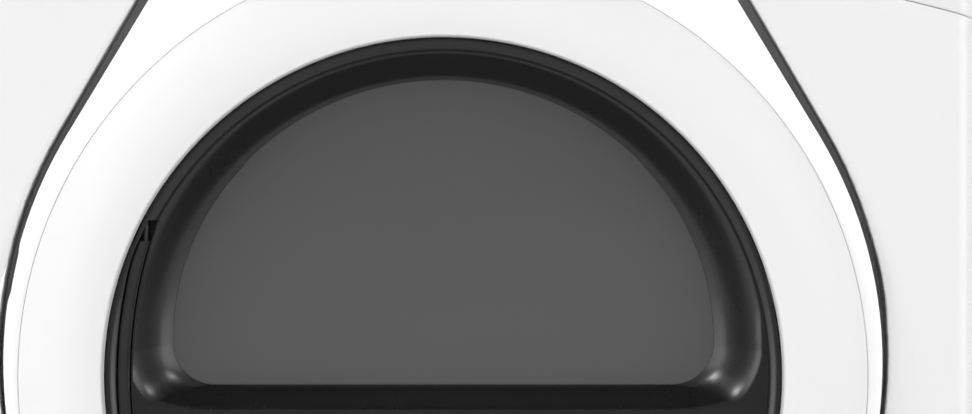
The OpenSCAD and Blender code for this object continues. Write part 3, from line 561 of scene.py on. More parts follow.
def build_surface_life(tree, source, sink):
    """Slow colour drift, gloss smudges and a fine skin bump."""
    link = tree.links.new
    drift = add(tree, "ShaderNodeTexNoise", Detail=3.0, Roughness=0.55)
    link(source.outputs["Place"], drift.inputs["Vector"])
    link(source.outputs["Drift Scale"], drift.inputs["Scale"])
    smudge = add(tree, "ShaderNodeTexNoise", Scale=14.0, Detail=5.0, Roughness=0.62)
    link(source.outputs["Place"], smudge.inputs["Vector"])
    skin = add(tree, "ShaderNodeTexNoise", Detail=2.0, Roughness=0.5)
    link(source.outputs["Place"], skin.inputs["Vector"])
    link(source.outputs["Skin Scale"], skin.inputs["Scale"])
    centred = math_node(tree, "SUBTRACT", drift.outputs["Fac"], 0.5)
    gain = math_node(tree, "ADD", math_node(tree, "MULTIPLY", centred, source.outputs["Drift"]), 1.0)
    tint = tree.nodes.new("ShaderNodeVectorMath")
    tint.operation = "SCALE"
    link(source.outputs["Colour"], tint.inputs[0])
    link(gain, tint.inputs["Scale"])
    link(tint.outputs[0], sink.inputs["Colour"])
    rough = math_node(tree, "MULTIPLY", math_node(tree, "SUBTRACT", smudge.outputs["Fac"], 0.5),
                      source.outputs["Smudge"])
    link(math_node(tree, "ADD", rough, source.outputs["Roughness"]), sink.inputs["Roughness"])
    bump = add(tree, "ShaderNodeBump", Distance=0.0004)
    link(source.outputs["Skin"], bump.inputs["Strength"])
    link(skin.outputs["Fac"], bump.inputs["Height"])
    link(bump.outputs["Normal"], sink.inputs["Normal"])


def surface_life():
    """The group that keeps a moulded or painted face from looking flat."""
    return node_group("SurfaceLife", [
        ("Place", "NodeSocketVector", None), ("Colour", "NodeSocketColor", (0.8, 0.8, 0.8, 1)),
        ("Drift", "NodeSocketFloat", 0.04),
        ("Drift Scale", "NodeSocketFloat", 3.0), ("Roughness", "NodeSocketFloat", 0.35),
        ("Smudge", "NodeSocketFloat", 0.08),
        ("Skin", "NodeSocketFloat", 0.1), ("Skin Scale", "NodeSocketFloat", 900.0)],
        [("Colour", "NodeSocketColor"), ("Roughness", "NodeSocketFloat"), ("Normal", "NodeSocketVector")],
                      build_surface_life)


def build_edge_dust(tree, source, sink):
    """Mask of dust and handling wear that gathers on upward faces and edges."""
    link = tree.links.new
    shape = tree.nodes.new("ShaderNodeNewGeometry")
    split = tree.nodes.new("ShaderNodeSeparateXYZ")
    link(shape.outputs["Normal"], split.inputs[0])
    fleck = add(tree, "ShaderNodeTexNoise", Scale=60.0, Detail=6.0, Roughness=0.7)
    link(source.outputs["Place"], fleck.inputs["Vector"])
    edge = math_node(tree, "MULTIPLY", math_node(tree, "SUBTRACT", shape.outputs["Pointiness"], 0.5),
                     source.outputs["Edge"])
    upward = math_node(tree, "MULTIPLY", math_node(tree, "MAXIMUM", split.outputs["Z"], 0.0),
                       source.outputs["Upward"])
    mask = math_node(tree, "MULTIPLY", math_node(tree, "ADD", math_node(tree, "ABSOLUTE", edge, 0.0), upward),
                     fleck.outputs["Fac"])
    clamp = tree.nodes.new("ShaderNodeClamp")
    link(mask, clamp.inputs["Value"])
    link(clamp.outputs[0], sink.inputs["Mask"])


def edge_dust():
    """The group that marks where dust and wear show."""
    return node_group("EdgeDust", [("Place", "NodeSocketVector", None), ("Edge", "NodeSocketFloat", 2.0),
                                   ("Upward", "NodeSocketFloat", 0.2)],
                      [("Mask", "NodeSocketFloat")], build_edge_dust)


def blank(name):
    """A material with its Principled shader and object coordinates."""
    material = bpy.data.materials.new(name)
    material.use_nodes = True
    tree = material.node_tree
    tree.nodes.clear()
    output = tree.nodes.new("ShaderNodeOutputMaterial")
    shader = tree.nodes.new("ShaderNodeBsdfPrincipled")
    tree.links.new(shader.outputs[0], output.inputs[0])
    place = tree.nodes.new("ShaderNodeTexCoord").outputs["Object"]
    return material, tree, shader, place


finishes = {}


def finish(name, base, rough=0.35, metal=0.0, drift=0.03, drift_scale=3.0, smudge=0.06, skin=0.08,
           skin_scale=900.0,
           dust=0.15, edge=2.0, dust_tint=(0.5, 0.49, 0.47), coat=0.0, pattern=None, stretch=None, **sockets):
    """A finish for moulded, painted or metal faces, made once and kept by name."""
    if name in finishes:
        return finishes[name]
    material, tree, shader, place = blank(name)
    link = tree.links.new
    if stretch:
        mapping = add(tree, "ShaderNodeMapping")
        mapping.inputs["Scale"].default_value = stretch
        link(place, mapping.inputs["Vector"])
        grain_place = mapping.outputs[0]
    else:
        grain_place = place
    life = tree.nodes.new("ShaderNodeGroup")
    life.node_tree = surface_life()
    for label, value in (("Drift", drift), ("Drift Scale", drift_scale), ("Roughness", rough),
                         ("Smudge", smudge), ("Skin", skin), ("Skin Scale", skin_scale)):
        life.inputs[label].default_value = value
    life.inputs["Colour"].default_value = (*base, 1)
    link(grain_place, life.inputs["Place"])
    shade = life.outputs["Colour"]
    if pattern:
        shade = pattern(tree, place, shade)
    worn = tree.nodes.new("ShaderNodeGroup")
    worn.node_tree = edge_dust()
    worn.inputs["Upward"].default_value = dust
    worn.inputs["Edge"].default_value = edge
    link(place, worn.inputs["Place"])
    link(shade_mix(tree, worn.outputs["Mask"], shade, dust_tint), shader.inputs["Base Color"])
    link(life.outputs["Roughness"], shader.inputs["Roughness"])
    link(life.outputs["Normal"], shader.inputs["Normal"])
    shader.inputs["Metallic"].default_value = metal
    if coat:
        shader.inputs["Coat Weight"].default_value = coat
        shader.inputs["Coat Roughness"].default_value = 0.08
    for label, value in sockets.items():
        shader.inputs[label.replace("_", " ")].default_value = value
    finishes[name] = material
    return material


def spangle(tree, place, shade):
    """Zinc crystals: cells of slightly different brightness."""
    cells = add(tree, "ShaderNodeTexVoronoi", Scale=70.0)
    tree.links.new(place, cells.inputs["Vector"])
    grey = tree.nodes.new("ShaderNodeSeparateColor")
    tree.links.new(cells.outputs["Color"], grey.inputs[0])
    level = math_node(tree, "MULTIPLY", grey.outputs[0], 0.35)
    return shade_mix(tree, level, shade, (0.42, 0.44, 0.46))


def weave(scale, tint):
    """A fine crossed weave, as of a mesh or felt."""
    def pattern(tree, place, shade):
        first = add(tree, "ShaderNodeTexWave", Scale=scale, Distortion=0.6)
        first.bands_direction = "X"
        second = add(tree, "ShaderNodeTexWave", Scale=scale, Distortion=0.6)
        second.bands_direction = "Z"
        for wave in (first, second):
            tree.links.new(place, wave.inputs["Vector"])
        both = math_node(tree, "MULTIPLY", first.outputs["Fac"], second.outputs["Fac"])
        return shade_mix(tree, both, shade, tint)
    return pattern


def tracks(tree, place, shade):
    """Traces and pads of a circuit board."""
    board = add(tree, "ShaderNodeTexBrick", Scale=40.0, Mortar_Size=0.03)
    board.inputs["Color1"].default_value = (0.02, 0.16, 0.06, 1)
    board.inputs["Color2"].default_value = (0.03, 0.2, 0.08, 1)
    board.inputs["Mortar"].default_value = (0.35, 0.3, 0.12, 1)
    tree.links.new(place, board.inputs["Vector"])
    return shade_mix(tree, 0.75, shade, board.outputs["Color"])


def perforated(tree, place, shade):
    """Rows of small round holes round the drum's wall."""
    link = tree.links.new
    split = tree.nodes.new("ShaderNodeSeparateXYZ")
    link(place, split.inputs[0])
    low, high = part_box("drum_shell")
    height = math_node(tree, "SUBTRACT", split.outputs["Z"], float(halfway(low, high, 2)))
    turn = math_node(tree, "MULTIPLY", math_node(tree, "ARCTAN2", split.outputs["X"], height), 90 / math.tau)
    along = math_node(tree, "MULTIPLY", split.outputs["Y"], 45.0)
    distances = []
    for value in (turn, along):
        off = math_node(tree, "SUBTRACT", math_node(tree, "FRACT", value, 0.0), 0.5)
        distances.append(math_node(tree, "MULTIPLY", off, off))
    near = math_node(tree, "LESS_THAN", math_node(tree, "ADD", *distances), 0.012)
    return shade_mix(tree, near, shade, (0.02, 0.02, 0.02))


FINISHES = {
    "cabinet_white": ("CabinetEnamel", "cabinet", dict(rough=0.32, drift=0.012, smudge=0.05, skin=0.05,
                                                       skin_scale=500, dust=0.02, coat=0.25)),
    # The plate's lighter white is partly painted light.
    "plate_white": ("DoorPlateWhite", "plate", dict(rough=0.38, drift=0.004, smudge=0.04, skin=0.02,
                                                    dust=0.0)),
    "ring_white": ("DoorRingWhite", "ring", dict(rough=0.5, drift=0.008, smudge=0.04, skin=0.02, dust=0.0)),
    "inner_white": ("InnerWhitePlastic", (0.72, 0.72, 0.71),
                    dict(rough=0.42, drift=0.02, skin=0.15, skin_scale=1400)),
    "bowl_black": ("BowlBlack", "bowl", dict(rough=0.27, drift=0.1, smudge=0.06, skin=0.01, dust=0.0,
                                             edge=0.0, dust_tint=(0.1, 0.1, 0.1))),
    "fascia_black": ("FasciaBlack", (0.012, 0.012, 0.013),
                     dict(rough=0.12, drift=0.1, smudge=0.08, skin=0.01, dust=0.03, coat=0.6)),
    "grip_black": ("GripBlack", (0.022, 0.022, 0.022), dict(rough=0.34, drift=0.1, smudge=0.08, skin=0.2,
                                                            skin_scale=1600, dust=0.0)),
    "pocket_black": ("PocketBlack", (0.004, 0.004, 0.004),
                     dict(rough=0.6, drift=0.1, smudge=0.08, skin=0.2, skin_scale=1600, dust=0.0, edge=0.0)),
    # The window's grey is partly painted reflection.
    "window_smoke_and_reflection": ("SmokedWindow", "window", dict(rough=0.4, drift=0.05, drift_scale=2.2, smudge=0.03,
                                                    skin=0.0, dust=0.0, edge=0.0, IOR=1.6)),
    "recess_grey": ("RecessGrey", (0.95, 0.95, 0.95), dict(rough=0.5, drift=0.04, skin=0.2)),
    "zinc": ("GalvanisedZinc", (0.62, 0.63, 0.64), dict(rough=0.38, metal=1.0, drift=0.08, smudge=0.18,
                                                        skin=0.06, skin_scale=300, dust=0.1,
                                                        pattern=spangle)),
    "plain_steel": ("BrushedSteel", (0.6, 0.6, 0.61), dict(rough=0.32, metal=1.0, drift=0.1, smudge=0.14,
                                                           skin=0.25, skin_scale=250, stretch=(1, 1, 14),
                                                           dust=0.1)),
    "bright_chrome": ("BrightTrim", (0.78, 0.78, 0.79),
                      dict(rough=0.14, metal=1.0, drift=0.03, smudge=0.08, skin=0.12, skin_scale=260,
                           stretch=(1, 30, 1), dust=0.0)),
    "grey_moulding": ("GreyMoulding", (0.32, 0.33, 0.34),
                      dict(rough=0.5, drift=0.06, skin=0.25, skin_scale=1200)),
    "black_rubber": ("BlackRubber", (0.025, 0.025, 0.025),
                     dict(rough=0.7, drift=0.15, smudge=0.1, skin=0.3, skin_scale=1500, dust=0.25)),
    "grey_rubber": ("GreyRubber", (0.2, 0.2, 0.205), dict(rough=0.62, drift=0.1, smudge=0.1, skin=0.25,
                                                          skin_scale=1500)),
    "felt": ("WoolFelt", (0.5, 0.46, 0.38), dict(rough=0.95, drift=0.2, skin=0.7, skin_scale=700,
                                                 pattern=weave(600, (0.62, 0.58, 0.5)))),
    "drum_coat": ("DrumCoat", (0.66, 0.67, 0.67), dict(rough=0.36, drift=0.03, smudge=0.1, skin=0.12,
                                                       skin_scale=500, coat=0.15, pattern=perforated)),
    "motor_alloy": ("MotorAlloy", (0.5, 0.5, 0.51), dict(rough=0.42, metal=1.0, drift=0.1, smudge=0.15,
                                                         skin=0.4, skin_scale=400)),
    "hot_wire": ("HeaterWire", (0.4, 0.27, 0.2), dict(rough=0.5, metal=1.0, drift=0.3, skin=0.5,
                                                      skin_scale=200, stretch=(30, 1, 1))),
    "board_green": ("CircuitBoard", (0.03, 0.18, 0.07), dict(rough=0.45, pattern=tracks)),
    "frosted_lens": ("FrostedLens", (0.75, 0.73, 0.66),
                     dict(rough=0.45, drift=0.05, skin=0.4, skin_scale=900, Transmission_Weight=0.4)),
    "lint_mesh": ("LintMesh", (0.55, 0.6, 0.66), dict(rough=0.55, drift=0.05, skin=0.1,
                                                      pattern=weave(420, (0.2, 0.22, 0.25)))),
    "display_glass": ("DisplayGlass", (0.02, 0.028, 0.04),
                      dict(rough=0.1, drift=0.05, smudge=0.04, skin=0.0, dust=0.0, edge=0.0, coat=0.5)),
    "lit_digits": ("LitDigits", (0.5, 0.75, 0.85), dict(rough=0.4, drift=0.02, skin=0.0, dust=0.0, edge=0.0,
                                                        Emission_Color=(0.45, 0.75, 0.9, 1),
                                                        Emission_Strength=0.6)),
    "lit_marks": ("PrintedMarks", (0.8, 0.8, 0.8), dict(rough=0.5, drift=0.03, skin=0.05)),
}


def coat(key):
    """One finish of the table; a base given as a name is one of the colour sizes."""
    name, base, values = FINISHES[key]
    if isinstance(base, str):
        base = tuple(getattr(bpy.context.scene.dryer_colours, base))
    return finish(name, base, **values)


def dress(piece, material):
    """Gives a piece or a kept node one finish."""
    piece.data.materials.clear()
    piece.data.materials.append(material)


def place_piece(piece, body, slot, material, *nodes):
    """Finishes a piece: its material, its body and the nodes it stands for; the slot is not used."""
    dress(piece, material)
    if nodes:
        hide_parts(*nodes)
    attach(piece, body)


# ---------------------------------------------------------------- cabinet

def bend_sheet(s, z, depth):
    """Wraps an unrolled front sheet round the cabinet's upright edges."""
    cabinet = sizes()[0]
    flat = cabinet.half_width - cabinet.edge
    past = abs(s) - flat
    if past <= 0:
        return (s, FRONT + depth, z)
    turn = past / cabinet.edge
    side = math.copysign(1, s)
    if turn <= math.pi / 2:
        reach = cabinet.edge - depth
        return (side * (flat + reach * math.sin(turn)), FRONT + cabinet.edge - reach * math.cos(turn), z)
    return (side * (cabinet.half_width - depth), FRONT + cabinet.edge + past - cabinet.edge * math.pi / 2, z)


def unrolled_half():
    """Half of the front sheet's width when it is laid flat, and the places where it bends."""
    cabinet = sizes()[0]
    flat = cabinet.half_width - cabinet.edge
    bend = cabinet.edge * math.pi / 2
    stops = [flat + bend * i / 8 for i in range(9)]
    return flat, stops, flat + bend + cabinet.side_depth - cabinet.edge


SCOOP_HALF = 0.095
SCOOP_DEPTH = 0.006


class DRYER_OT_front_sheet(bpy.types.Operator):
    """Build the enamelled front sheet round the door's opening"""
    bl_idname = "dryer.front_sheet"
    bl_label = "Front Sheet"

    def execute(self, context):
        cabinet, door = sizes()
        flat, stops, half = unrolled_half()
        foot = panel_low[2]
        centre = (0.0, door.ring_height + door.open_lift)
        roll = 0.0014
        quarter = [math.pi / 2 * i / 4 for i in range(5)]
        hole_rings = [(0.0, 0.009)] + [(roll * (1 - math.cos(a)), roll * (1 - math.sin(a))) for a in quarter]
        holes = [opening_half(grow) for grow, _ in hole_rings]
        flat_rings = (0.0045, 0.009, 0.014, 0.02, 0.03)
        hem_rings = [(roll * (1 - math.sin(a)), roll * (1 - math.cos(a))) for a in quarter] + [(0.0, 0.003)]

        def top(s):
            return arch_z(min(abs(s), cabinet.half_width)) - cabinet.seam

        def nested(inset):
            """A loop parallel to the sheet's outline, as the right half from the bottom up."""
            side = half - inset
            points = [(0.0, foot + inset), (side, foot + inset), (side, top(side) - inset)]
            points += [(side - side * i / 60, top(side - side * i / 60) - inset) for i in range(1, 61)]
            return points

        edge = [(flat * i / 24, foot) for i in range(25)] + [(s, foot) for s in stops[1:]] + [(half, foot)]
        edge += [(half, foot + (top(half) - foot) * i / 90) for i in range(1, 91)]
        edge += [(s, top(s)) for s in reversed(stops[1:])]
        edge += [(flat * (1 - i / 40), top(flat * (1 - i / 40))) for i in range(41)]
        insets = [half - s for s in stops] + [grow for grow, _ in hem_rings]
        rims = [nested(step) for step in insets]
        depths = [depth for _, depth in hole_rings] + [0.0] * (len(flat_rings) + len(stops))
        depths += [depth for _, depth in hem_rings]
        columns = []
        for point in edge:
            reach = math.hypot(point[0] - centre[0], point[1] - centre[1])
            way = ((point[0] - centre[0]) / reach, (point[1] - centre[1]) / reach)
            hits = [along_ray(hole, centre, way) for hole in holes]
            if None in hits or hits[-1] > reach - 0.004:
                break
            span = reach - hits[-1]
            least = min(0.0005, span / 60)
            column = hits + [hits[-1] + min(step, span * step / 0.06) for step in flat_rings]
            column += [along_ray(rim, centre, way) or 0.0 for rim in rims]
            for k in range(len(hits), len(column)):
                column[k] = max(column[k], column[k - 1] + least)
            hem_start = reach - min(roll, span / 4)
            for k in range(len(column)):
                left_over = len(column) - len(hem_rings) - k
                if left_over > 0:
                    column[k] = min(column[k], hem_start - least * left_over)
                else:
                    column[k] = min(column[k], reach - 1e-6 * (len(column) - 1 - k))
            columns.append([(centre[0] + way[0] * t, centre[1] + way[1] * t) for t in column])
        sweep = [[(-x, z) for x, z in column] for column in reversed(columns[1:])] + columns

        def sink(x, z, k):
            """Depth of the sheet, with the finger scoop on the grip's side."""
            if x > 0 or k >= len(hole_rings) + len(flat_rings):
                return depths[k]
            height = ease(1 - abs(z - door.ring_height) / SCOOP_HALF)
            past = max(0, k - len(hole_rings) + 1) / (len(flat_rings) + 1)
            return depths[k] + SCOOP_DEPTH * height * (1 - past) ** 1.5

        loops = [[bend_sheet(*column[k], sink(*column[k], k)) for column in sweep]
                 for k in range(len(depths))]
        piece = loops_skin("front_sheet", loops, closed=False)
        facing(piece)
        thicken(piece, cabinet.sheet)
        smooth(piece, 40)
        place_piece(piece, "cabinet", "white_enamel", coat("cabinet_white"), "front_panel")
        return {"FINISHED"}


class DRYER_OT_console(bpy.types.Operator):
    """Build the console shell above the front sheet"""
    bl_idname = "dryer.console"
    bl_label = "Console Shell"

    def execute(self, context):
        cabinet = sizes()[0]
        flat, stops, half = unrolled_half()
        crown = console_high[2]
        places = [flat * i / 40 for i in range(41)] + stops[1:] + [half]
        places = [-s for s in reversed(places[1:])] + places
        roll = 0.0018
        turns = [math.pi / 2 * t / 4 for t in range(5)]
        rows = [(roll * (1 - math.sin(a)), roll * (1 - math.cos(a))) for a in turns]

        def foot(s):
            return arch_z(min(abs(s), cabinet.half_width))

        loops = [[bend_sheet(s, foot(s), 0.01) for s in places]]
        loops += [[bend_sheet(s, foot(s) + up, depth) for s in places] for depth, up in rows]
        loops += [[bend_sheet(s, foot(s) + roll + (crown - foot(s) - 2 * roll) * i / 10, 0.0)
                   for s in places] for i in range(1, 11)]
        loops += [[bend_sheet(s, crown - up, depth) for s in places] for depth, up in reversed(rows)][1:]
        loops += [[bend_sheet(s, crown, 0.01) for s in places]]
        piece = loops_skin("console_housing", loops, closed=False)
        facing(piece)
        thicken(piece, 0.0022)
        smooth(piece, 40)
        place_piece(piece, "cabinet", "white_plastic", coat("cabinet_white"), "console_shell")
        return {"FINISHED"}


# ---------------------------------------------------------------- door

HINGE_REACH = 0.226
HINGE_SPREAD = 0.060
HINGE_SLOT = 0.019


class DRYER_OT_door_plate(bpy.types.Operator):
    """Build the door's flat white border with its rim"""
    bl_idname = "dryer.door_plate"
    bl_label = "Door Plate"

    def execute(self, context):
        door = sizes()[1]
        face = FRONT - door.plate_out
        back = FRONT + door.skirt
        roll = 0.0011
        outline = door_outline()
        centre = (0.0, door.ring_height)

        def notch(x, z):
            """Depth of the step in the edge beside the grip."""
            return 0.0011 if x < 0 and 0.051 < z - door.ring_height < 0.082 and abs(x) > 0.26 else 0.0

        def rim(grow, y):
            return [(x + notch(x, z), y, z) for x, z in door_outline(grow)]

        def inner(radius, y):
            loop = []
            for x, z in outline:
                reach = math.hypot(x - centre[0], z - centre[1])
                loop.append((centre[0] + (x - centre[0]) / reach * radius, y,
                             centre[1] + (z - centre[1]) / reach * radius))
            return loop

        radius = door.ring_radius + 0.0001
        loops = [inner(radius, FRONT + 0.004), inner(radius, face + 0.0006),
                 inner(radius + 0.0002, face + 0.0002), inner(radius + 0.0007, face)]
        loops += [rim(-roll * 1.6, face)]
        loops += [rim(-roll * (1 - math.sin(a)), face + roll * (1 - math.cos(a)))
                  for a in (math.pi / 2 * i / 4 for i in range(5))]
        loops += [rim(0, FRONT + 0.006), rim(0, back)]
        piece = loops_skin("door_plate", loops)
        facing(piece)
        thicken(piece, 0.0022)
        hinge_cut(piece)
        smooth(piece)
        place_piece(piece, "door", "white_plastic", coat("plate_white"), "door_frame")
        return {"FINISHED"}


def hinge_cut(piece):
    """Opens a door moulding's back where the two hinges pass."""
    door = sizes()[1]
    for side in (-1, 1):
        middle = door.ring_height + side * HINGE_SPREAD
        cut(piece, brick("hinge_cutter", (HINGE_REACH, FRONT - 0.003, middle - HINGE_SLOT),
                         (door.open_radius + 0.005, FRONT + 0.03, middle + HINGE_SLOT)))


def ring_profile():
    """Closed section of the crowned ring as (radius, y) points."""
    door = sizes()[1]
    outer = door.ring_radius
    inner = door.bowl_radius
    lip = 0.0016
    rise = door.crown - door.plate_out
    span = outer - inner - lip
    face = FRONT - door.plate_out

    def crown_y(t):
        return face - rise * math.sin(min(1.0, t) * math.radians(118)) ** 0.8

    steps = 40
    front = [(outer, face + 0.0007), (outer - 0.0004, face + 0.0001)]
    front += [(outer - span * (i / steps), crown_y(i / steps)) for i in range(1, steps + 1)]
    last = crown_y(1.0)
    front += [(inner + lip * (1 - math.sin(a)), last + 0.0036 * (1 - math.cos(a)))
              for a in (math.pi / 2 * i / 14 for i in range(1, 14))]
    front += [(inner + 0.0001, last + 0.0042), (inner, FRONT + 0.0055)]
    wall = 0.0026
    back = [(inner + wall, FRONT + 0.0055), (inner + wall, last + 0.012), (inner + lip, last + wall + 0.001)]
    back += [(outer - span * (i / 10), crown_y(i / 10) + wall) for i in range(9, 1, -1)]
    back += [(outer - wall, face + 0.006), (outer - wall, FRONT + 0.004), (outer, FRONT + 0.004)]
    return front + back


class DRYER_OT_door_ring(bpy.types.Operator):
    """Build the crowned white ring by spinning its section"""
    bl_idname = "dryer.door_ring"
    bl_label = "Door Ring"

    def execute(self, context):
        door = sizes()[1]
        piece = turned("crowned_ring", ring_profile(), 0.0, door.ring_height, steps=256)
        hinge_cut(piece)
        smooth(piece, 50)
        place_piece(piece, "door", "white_plastic", coat("ring_white"), "door_ring")
        return {"FINISHED"}


GRIP_ARC = 0.300
GRIP_EDGE = -0.2004
GRIP_WIDTH = 0.0101
GRIP_HALF = 0.1004
GRIP_REACH = 0.2145
LEVER_HALF = 0.087
LEVER_GAP = 0.0009
LEVER_PIN = (-0.1913, 0.0142)
BOWL_SHELF = 0.008
BOWL_SEAM_IN = 0.0088
WALL_WIDTH = 0.031
POCKET_FLOOR = 0.0188


def grip_x(z, edge=GRIP_EDGE):
    """x of the grip's curved edge at a height above the ring's centre."""
    return edge + GRIP_ARC - math.sqrt(GRIP_ARC ** 2 - z * z)


def bowl_depth(share):
    """Depth of the bowl's face at a share of the way from the window up its wall."""
    door = sizes()[1]
    return door.window_depth - (door.window_depth - BOWL_SHELF) * (0.5 * share + 0.5 * ease(share) ** 1.3)


def bowl_wall(x, z, span, drop):
    """Width of the wall at a window point, from the bowl's span outside it and the fall of the way out."""
    foot = -sizes()[1].window_foot
    if z < foot + WINDOW_CORNER:
        low = min(0.016 / max(drop, 0.2), 0.05)
        return min(span, low + (WALL_WIDTH - low) * ease((abs(x) - 0.125) / 0.055))
    return min(span, WALL_WIDTH)


class DRYER_OT_door_bowl(bpy.types.Operator):
    """Build the black bowl that leads from the ring down to the window"""
    bl_idname = "dryer.door_bowl"
    bl_label = "Door Bowl"

    def execute(self, context):
        door = sizes()[1]
        outline = both_sides(window_half())
        eye = Vector((0.0, BOWL_EYE))
        seam = door.bowl_radius - BOWL_SEAM_IN
        columns = []
        for x, z in outline:
            start = Vector((x, z))
            way = (start - eye).normalized()
            b = way.dot(eye)
            reach = -b + math.sqrt(b * b - eye.dot(eye) + seam * seam)
            end = eye + way * reach
            span = (end - start).length
            columns.append((start, end, span, 0.98 * bowl_wall(x, z, span, -way.y)))
        loops = []
        for share in [i / 16 for i in range(17)]:
            loops.append([(p + (q - p) * (share * wall / span), bowl_depth(share))
                          for p, q, span, wall in columns])
        for share in (0.04, 0.12, 0.3, 0.5, 0.7, 0.85, 1.0):
            loops.append([(p + (q - p) * ((wall + (span - wall) * share) / span), BOWL_SHELF)
                          for p, q, span, wall in columns])
        skin = [[(p.x, FRONT + y, p.y + door.ring_height) for p, y in loop] for loop in loops]

        def round_loop(radius, y):
            return [(q.x * radius / seam, FRONT + y, q.y * radius / seam + door.ring_height)
                    for p, q, span, wall in columns]

        skin += [round_loop(seam + step, BOWL_SHELF + y) for step, y in (
            (0.0002, 0.0007), (0.0010, 0.0007), (0.0013, -0.0004), (0.0030, -0.0018), (0.0060, -0.0030),
            (0.0078, -0.0030), (0.0081, 0.004))]
        piece = loops_skin("door_bowl_shell", skin)
        facing(piece)
        thicken(piece, 0.0025)
        cut(piece, slab("grip_cutter", grip_outline(GRIP_EDGE, GRIP_WIDTH, GRIP_HALF, GRIP_REACH),
                        FRONT - 0.02, FRONT + 0.0178))
        smooth(piece, 32)
        place_piece(piece, "door", "black_gloss", coat("bowl_black"), "door_bowl")
        return {"FINISHED"}


def grip_outline(edge, width, half, reach, count=30):
    """Outline of the curved band that the lever fills, inside a circle."""
    height = sizes()[1].ring_height
    heights = [half - 2 * half * i / count for i in range(count + 1)]
    right = [(grip_x(z, edge), z + height) for z in heights]
    left = [(max(grip_x(z, edge) - width, -math.sqrt(reach ** 2 - z * z)), z + height)
            for z in reversed(heights)]
    return right + left


def grip_grown(by):
    """The grip's outline, grown by the same amount all round."""
    return grip_outline(GRIP_EDGE + by, GRIP_WIDTH + 2 * by, GRIP_HALF + by, GRIP_REACH + by)


class DRYER_OT_door_window(bpy.types.Operator):
    """Build the smoked window"""
    bl_idname = "dryer.door_window"
    bl_label = "Door Window"

    def execute(self, context):
        door = sizes()[1]
        low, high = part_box("door_window")
        flange = slab("window_flange", window_outline(0.007), low[1], high[1], edge=0.0006)
        face = slab("window_face", window_outline(-0.0001), FRONT + door.window_depth + 0.0002,
                    low[1] + 0.001, edge=0.0002)
        piece = joined("smoked_window", [flange, face])
        smooth(piece, 30)
        # The window's grey is partly painted reflection.
        place_piece(piece, "door", "smoked_glass", coat("window_smoke_and_reflection"), "door_window")
        return {"FINISHED"}


class DRYER_OT_door_grip(bpy.types.Operator):
    """Build the handle lever and the pocket behind it"""
    bl_idname = "dryer.door_grip"
    bl_label = "Door Grip"

    def execute(self, context):
        door = sizes()[1]
        edge, width, reach = GRIP_EDGE - LEVER_GAP, GRIP_WIDTH - 2 * LEVER_GAP, GRIP_REACH - LEVER_GAP
        blade = slab("lever_blade", grip_outline(edge, width, LEVER_HALF, reach), FRONT + 0.012,
                     FRONT + 0.016, edge=0.0007)
        plan = grip_outline(edge - 0.0002, 0.0014, LEVER_HALF - 0.0005, reach)
        rail = slab("lever_rail", plan, FRONT + 0.0100, FRONT + 0.0125, edge=0.0004)
        pins = []
        for side in (-1, 1):
            deselect()
            place = (LEVER_PIN[0], FRONT + LEVER_PIN[1], door.ring_height + side * (LEVER_HALF + 0.0045))
            bpy.ops.mesh.primitive_cylinder_add(vertices=24, radius=0.0018, depth=0.015, location=place)
            pins.append(settle(named("lever_pin")))
        lever = joined("grip_lever", [blade, rail] + pins)
        smooth(lever)
        place_piece(lever, "handle_lever", "black_matte", coat("grip_black"), "handle_lever")
        plan = grip_outline(GRIP_EDGE + 0.0025, GRIP_WIDTH + 0.005, GRIP_HALF + 0.003,
                            door.bowl_radius + 0.001)
        floor = slab("pocket_floor", plan, FRONT + POCKET_FLOOR, FRONT + 0.0208, edge=0.0005)
        rim = slab("pocket_rim", grip_grown(0.0008), FRONT + 0.0072, FRONT + POCKET_FLOOR)
        cut(rim, slab("rim_cutter", grip_grown(-0.0001), FRONT - 0.01, FRONT + 0.03))
        pocket = joined("grip_pocket", [floor, rim])
        smooth(pocket)
        place_piece(pocket, "door", "black_matte", coat("pocket_black"), "handle_pocket")
        return {"FINISHED"}


# ---------------------------------------------------------------- controls

FASCIA_OUT = 0.002
BACKING_INSET = 0.004
SHAFT_HOLE = 0.0065


def bore(part, name, outline, deep=0.02):
    """Cuts an opening straight through a piece of the fascia."""
    cut(part, slab(name, outline, FRONT - 0.01, FRONT + deep))


class DRYER_OT_fascia(bpy.types.Operator):
    """Build the glossy fascia with its openings"""
    bl_idname = "dryer.fascia"
    bl_label = "Console Fascia"

    def execute(self, context):
        console = context.scene.dryer_console
        z = console.fascia_height
        wide, half = console.fascia_half, (fascia_high[2] - fascia_low[2]) / 2
        piece = slab("fascia", stadium(-wide, wide, z, half, 24), FRONT - FASCIA_OUT, FRONT + 0.002,
                     edge=0.0012)
        plan = stadium(-wide + BACKING_INSET, wide - BACKING_INSET, z, half - BACKING_INSET, 24)
        backing = slab("fascia_backing", plan, FRONT + 0.0015, FRONT + 0.006)
        for part in (piece, backing):
            bore(part, "knob_hole", ring_points(0, z, SHAFT_HOLE))
            for box in ("start_button", "power_button"):
                low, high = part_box(box)
                bore(part, "button_hole", ring_points(halfway(low, high, 0), z,
                                                      console.button_radius + 0.0004))
        low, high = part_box("display_window")
        gap = 0.0001
        bore(piece, "display_hole", rounded_box(low[0] - gap, low[2] - gap, high[0] + gap, high[2] + gap,
                                                0.0016), 0.001)
        piece = joined("fascia", [piece, backing])
        smooth(piece)
        place_piece(piece, "cabinet", "black_gloss", coat("fascia_black"), "console_fascia")
        return {"FINISHED"}


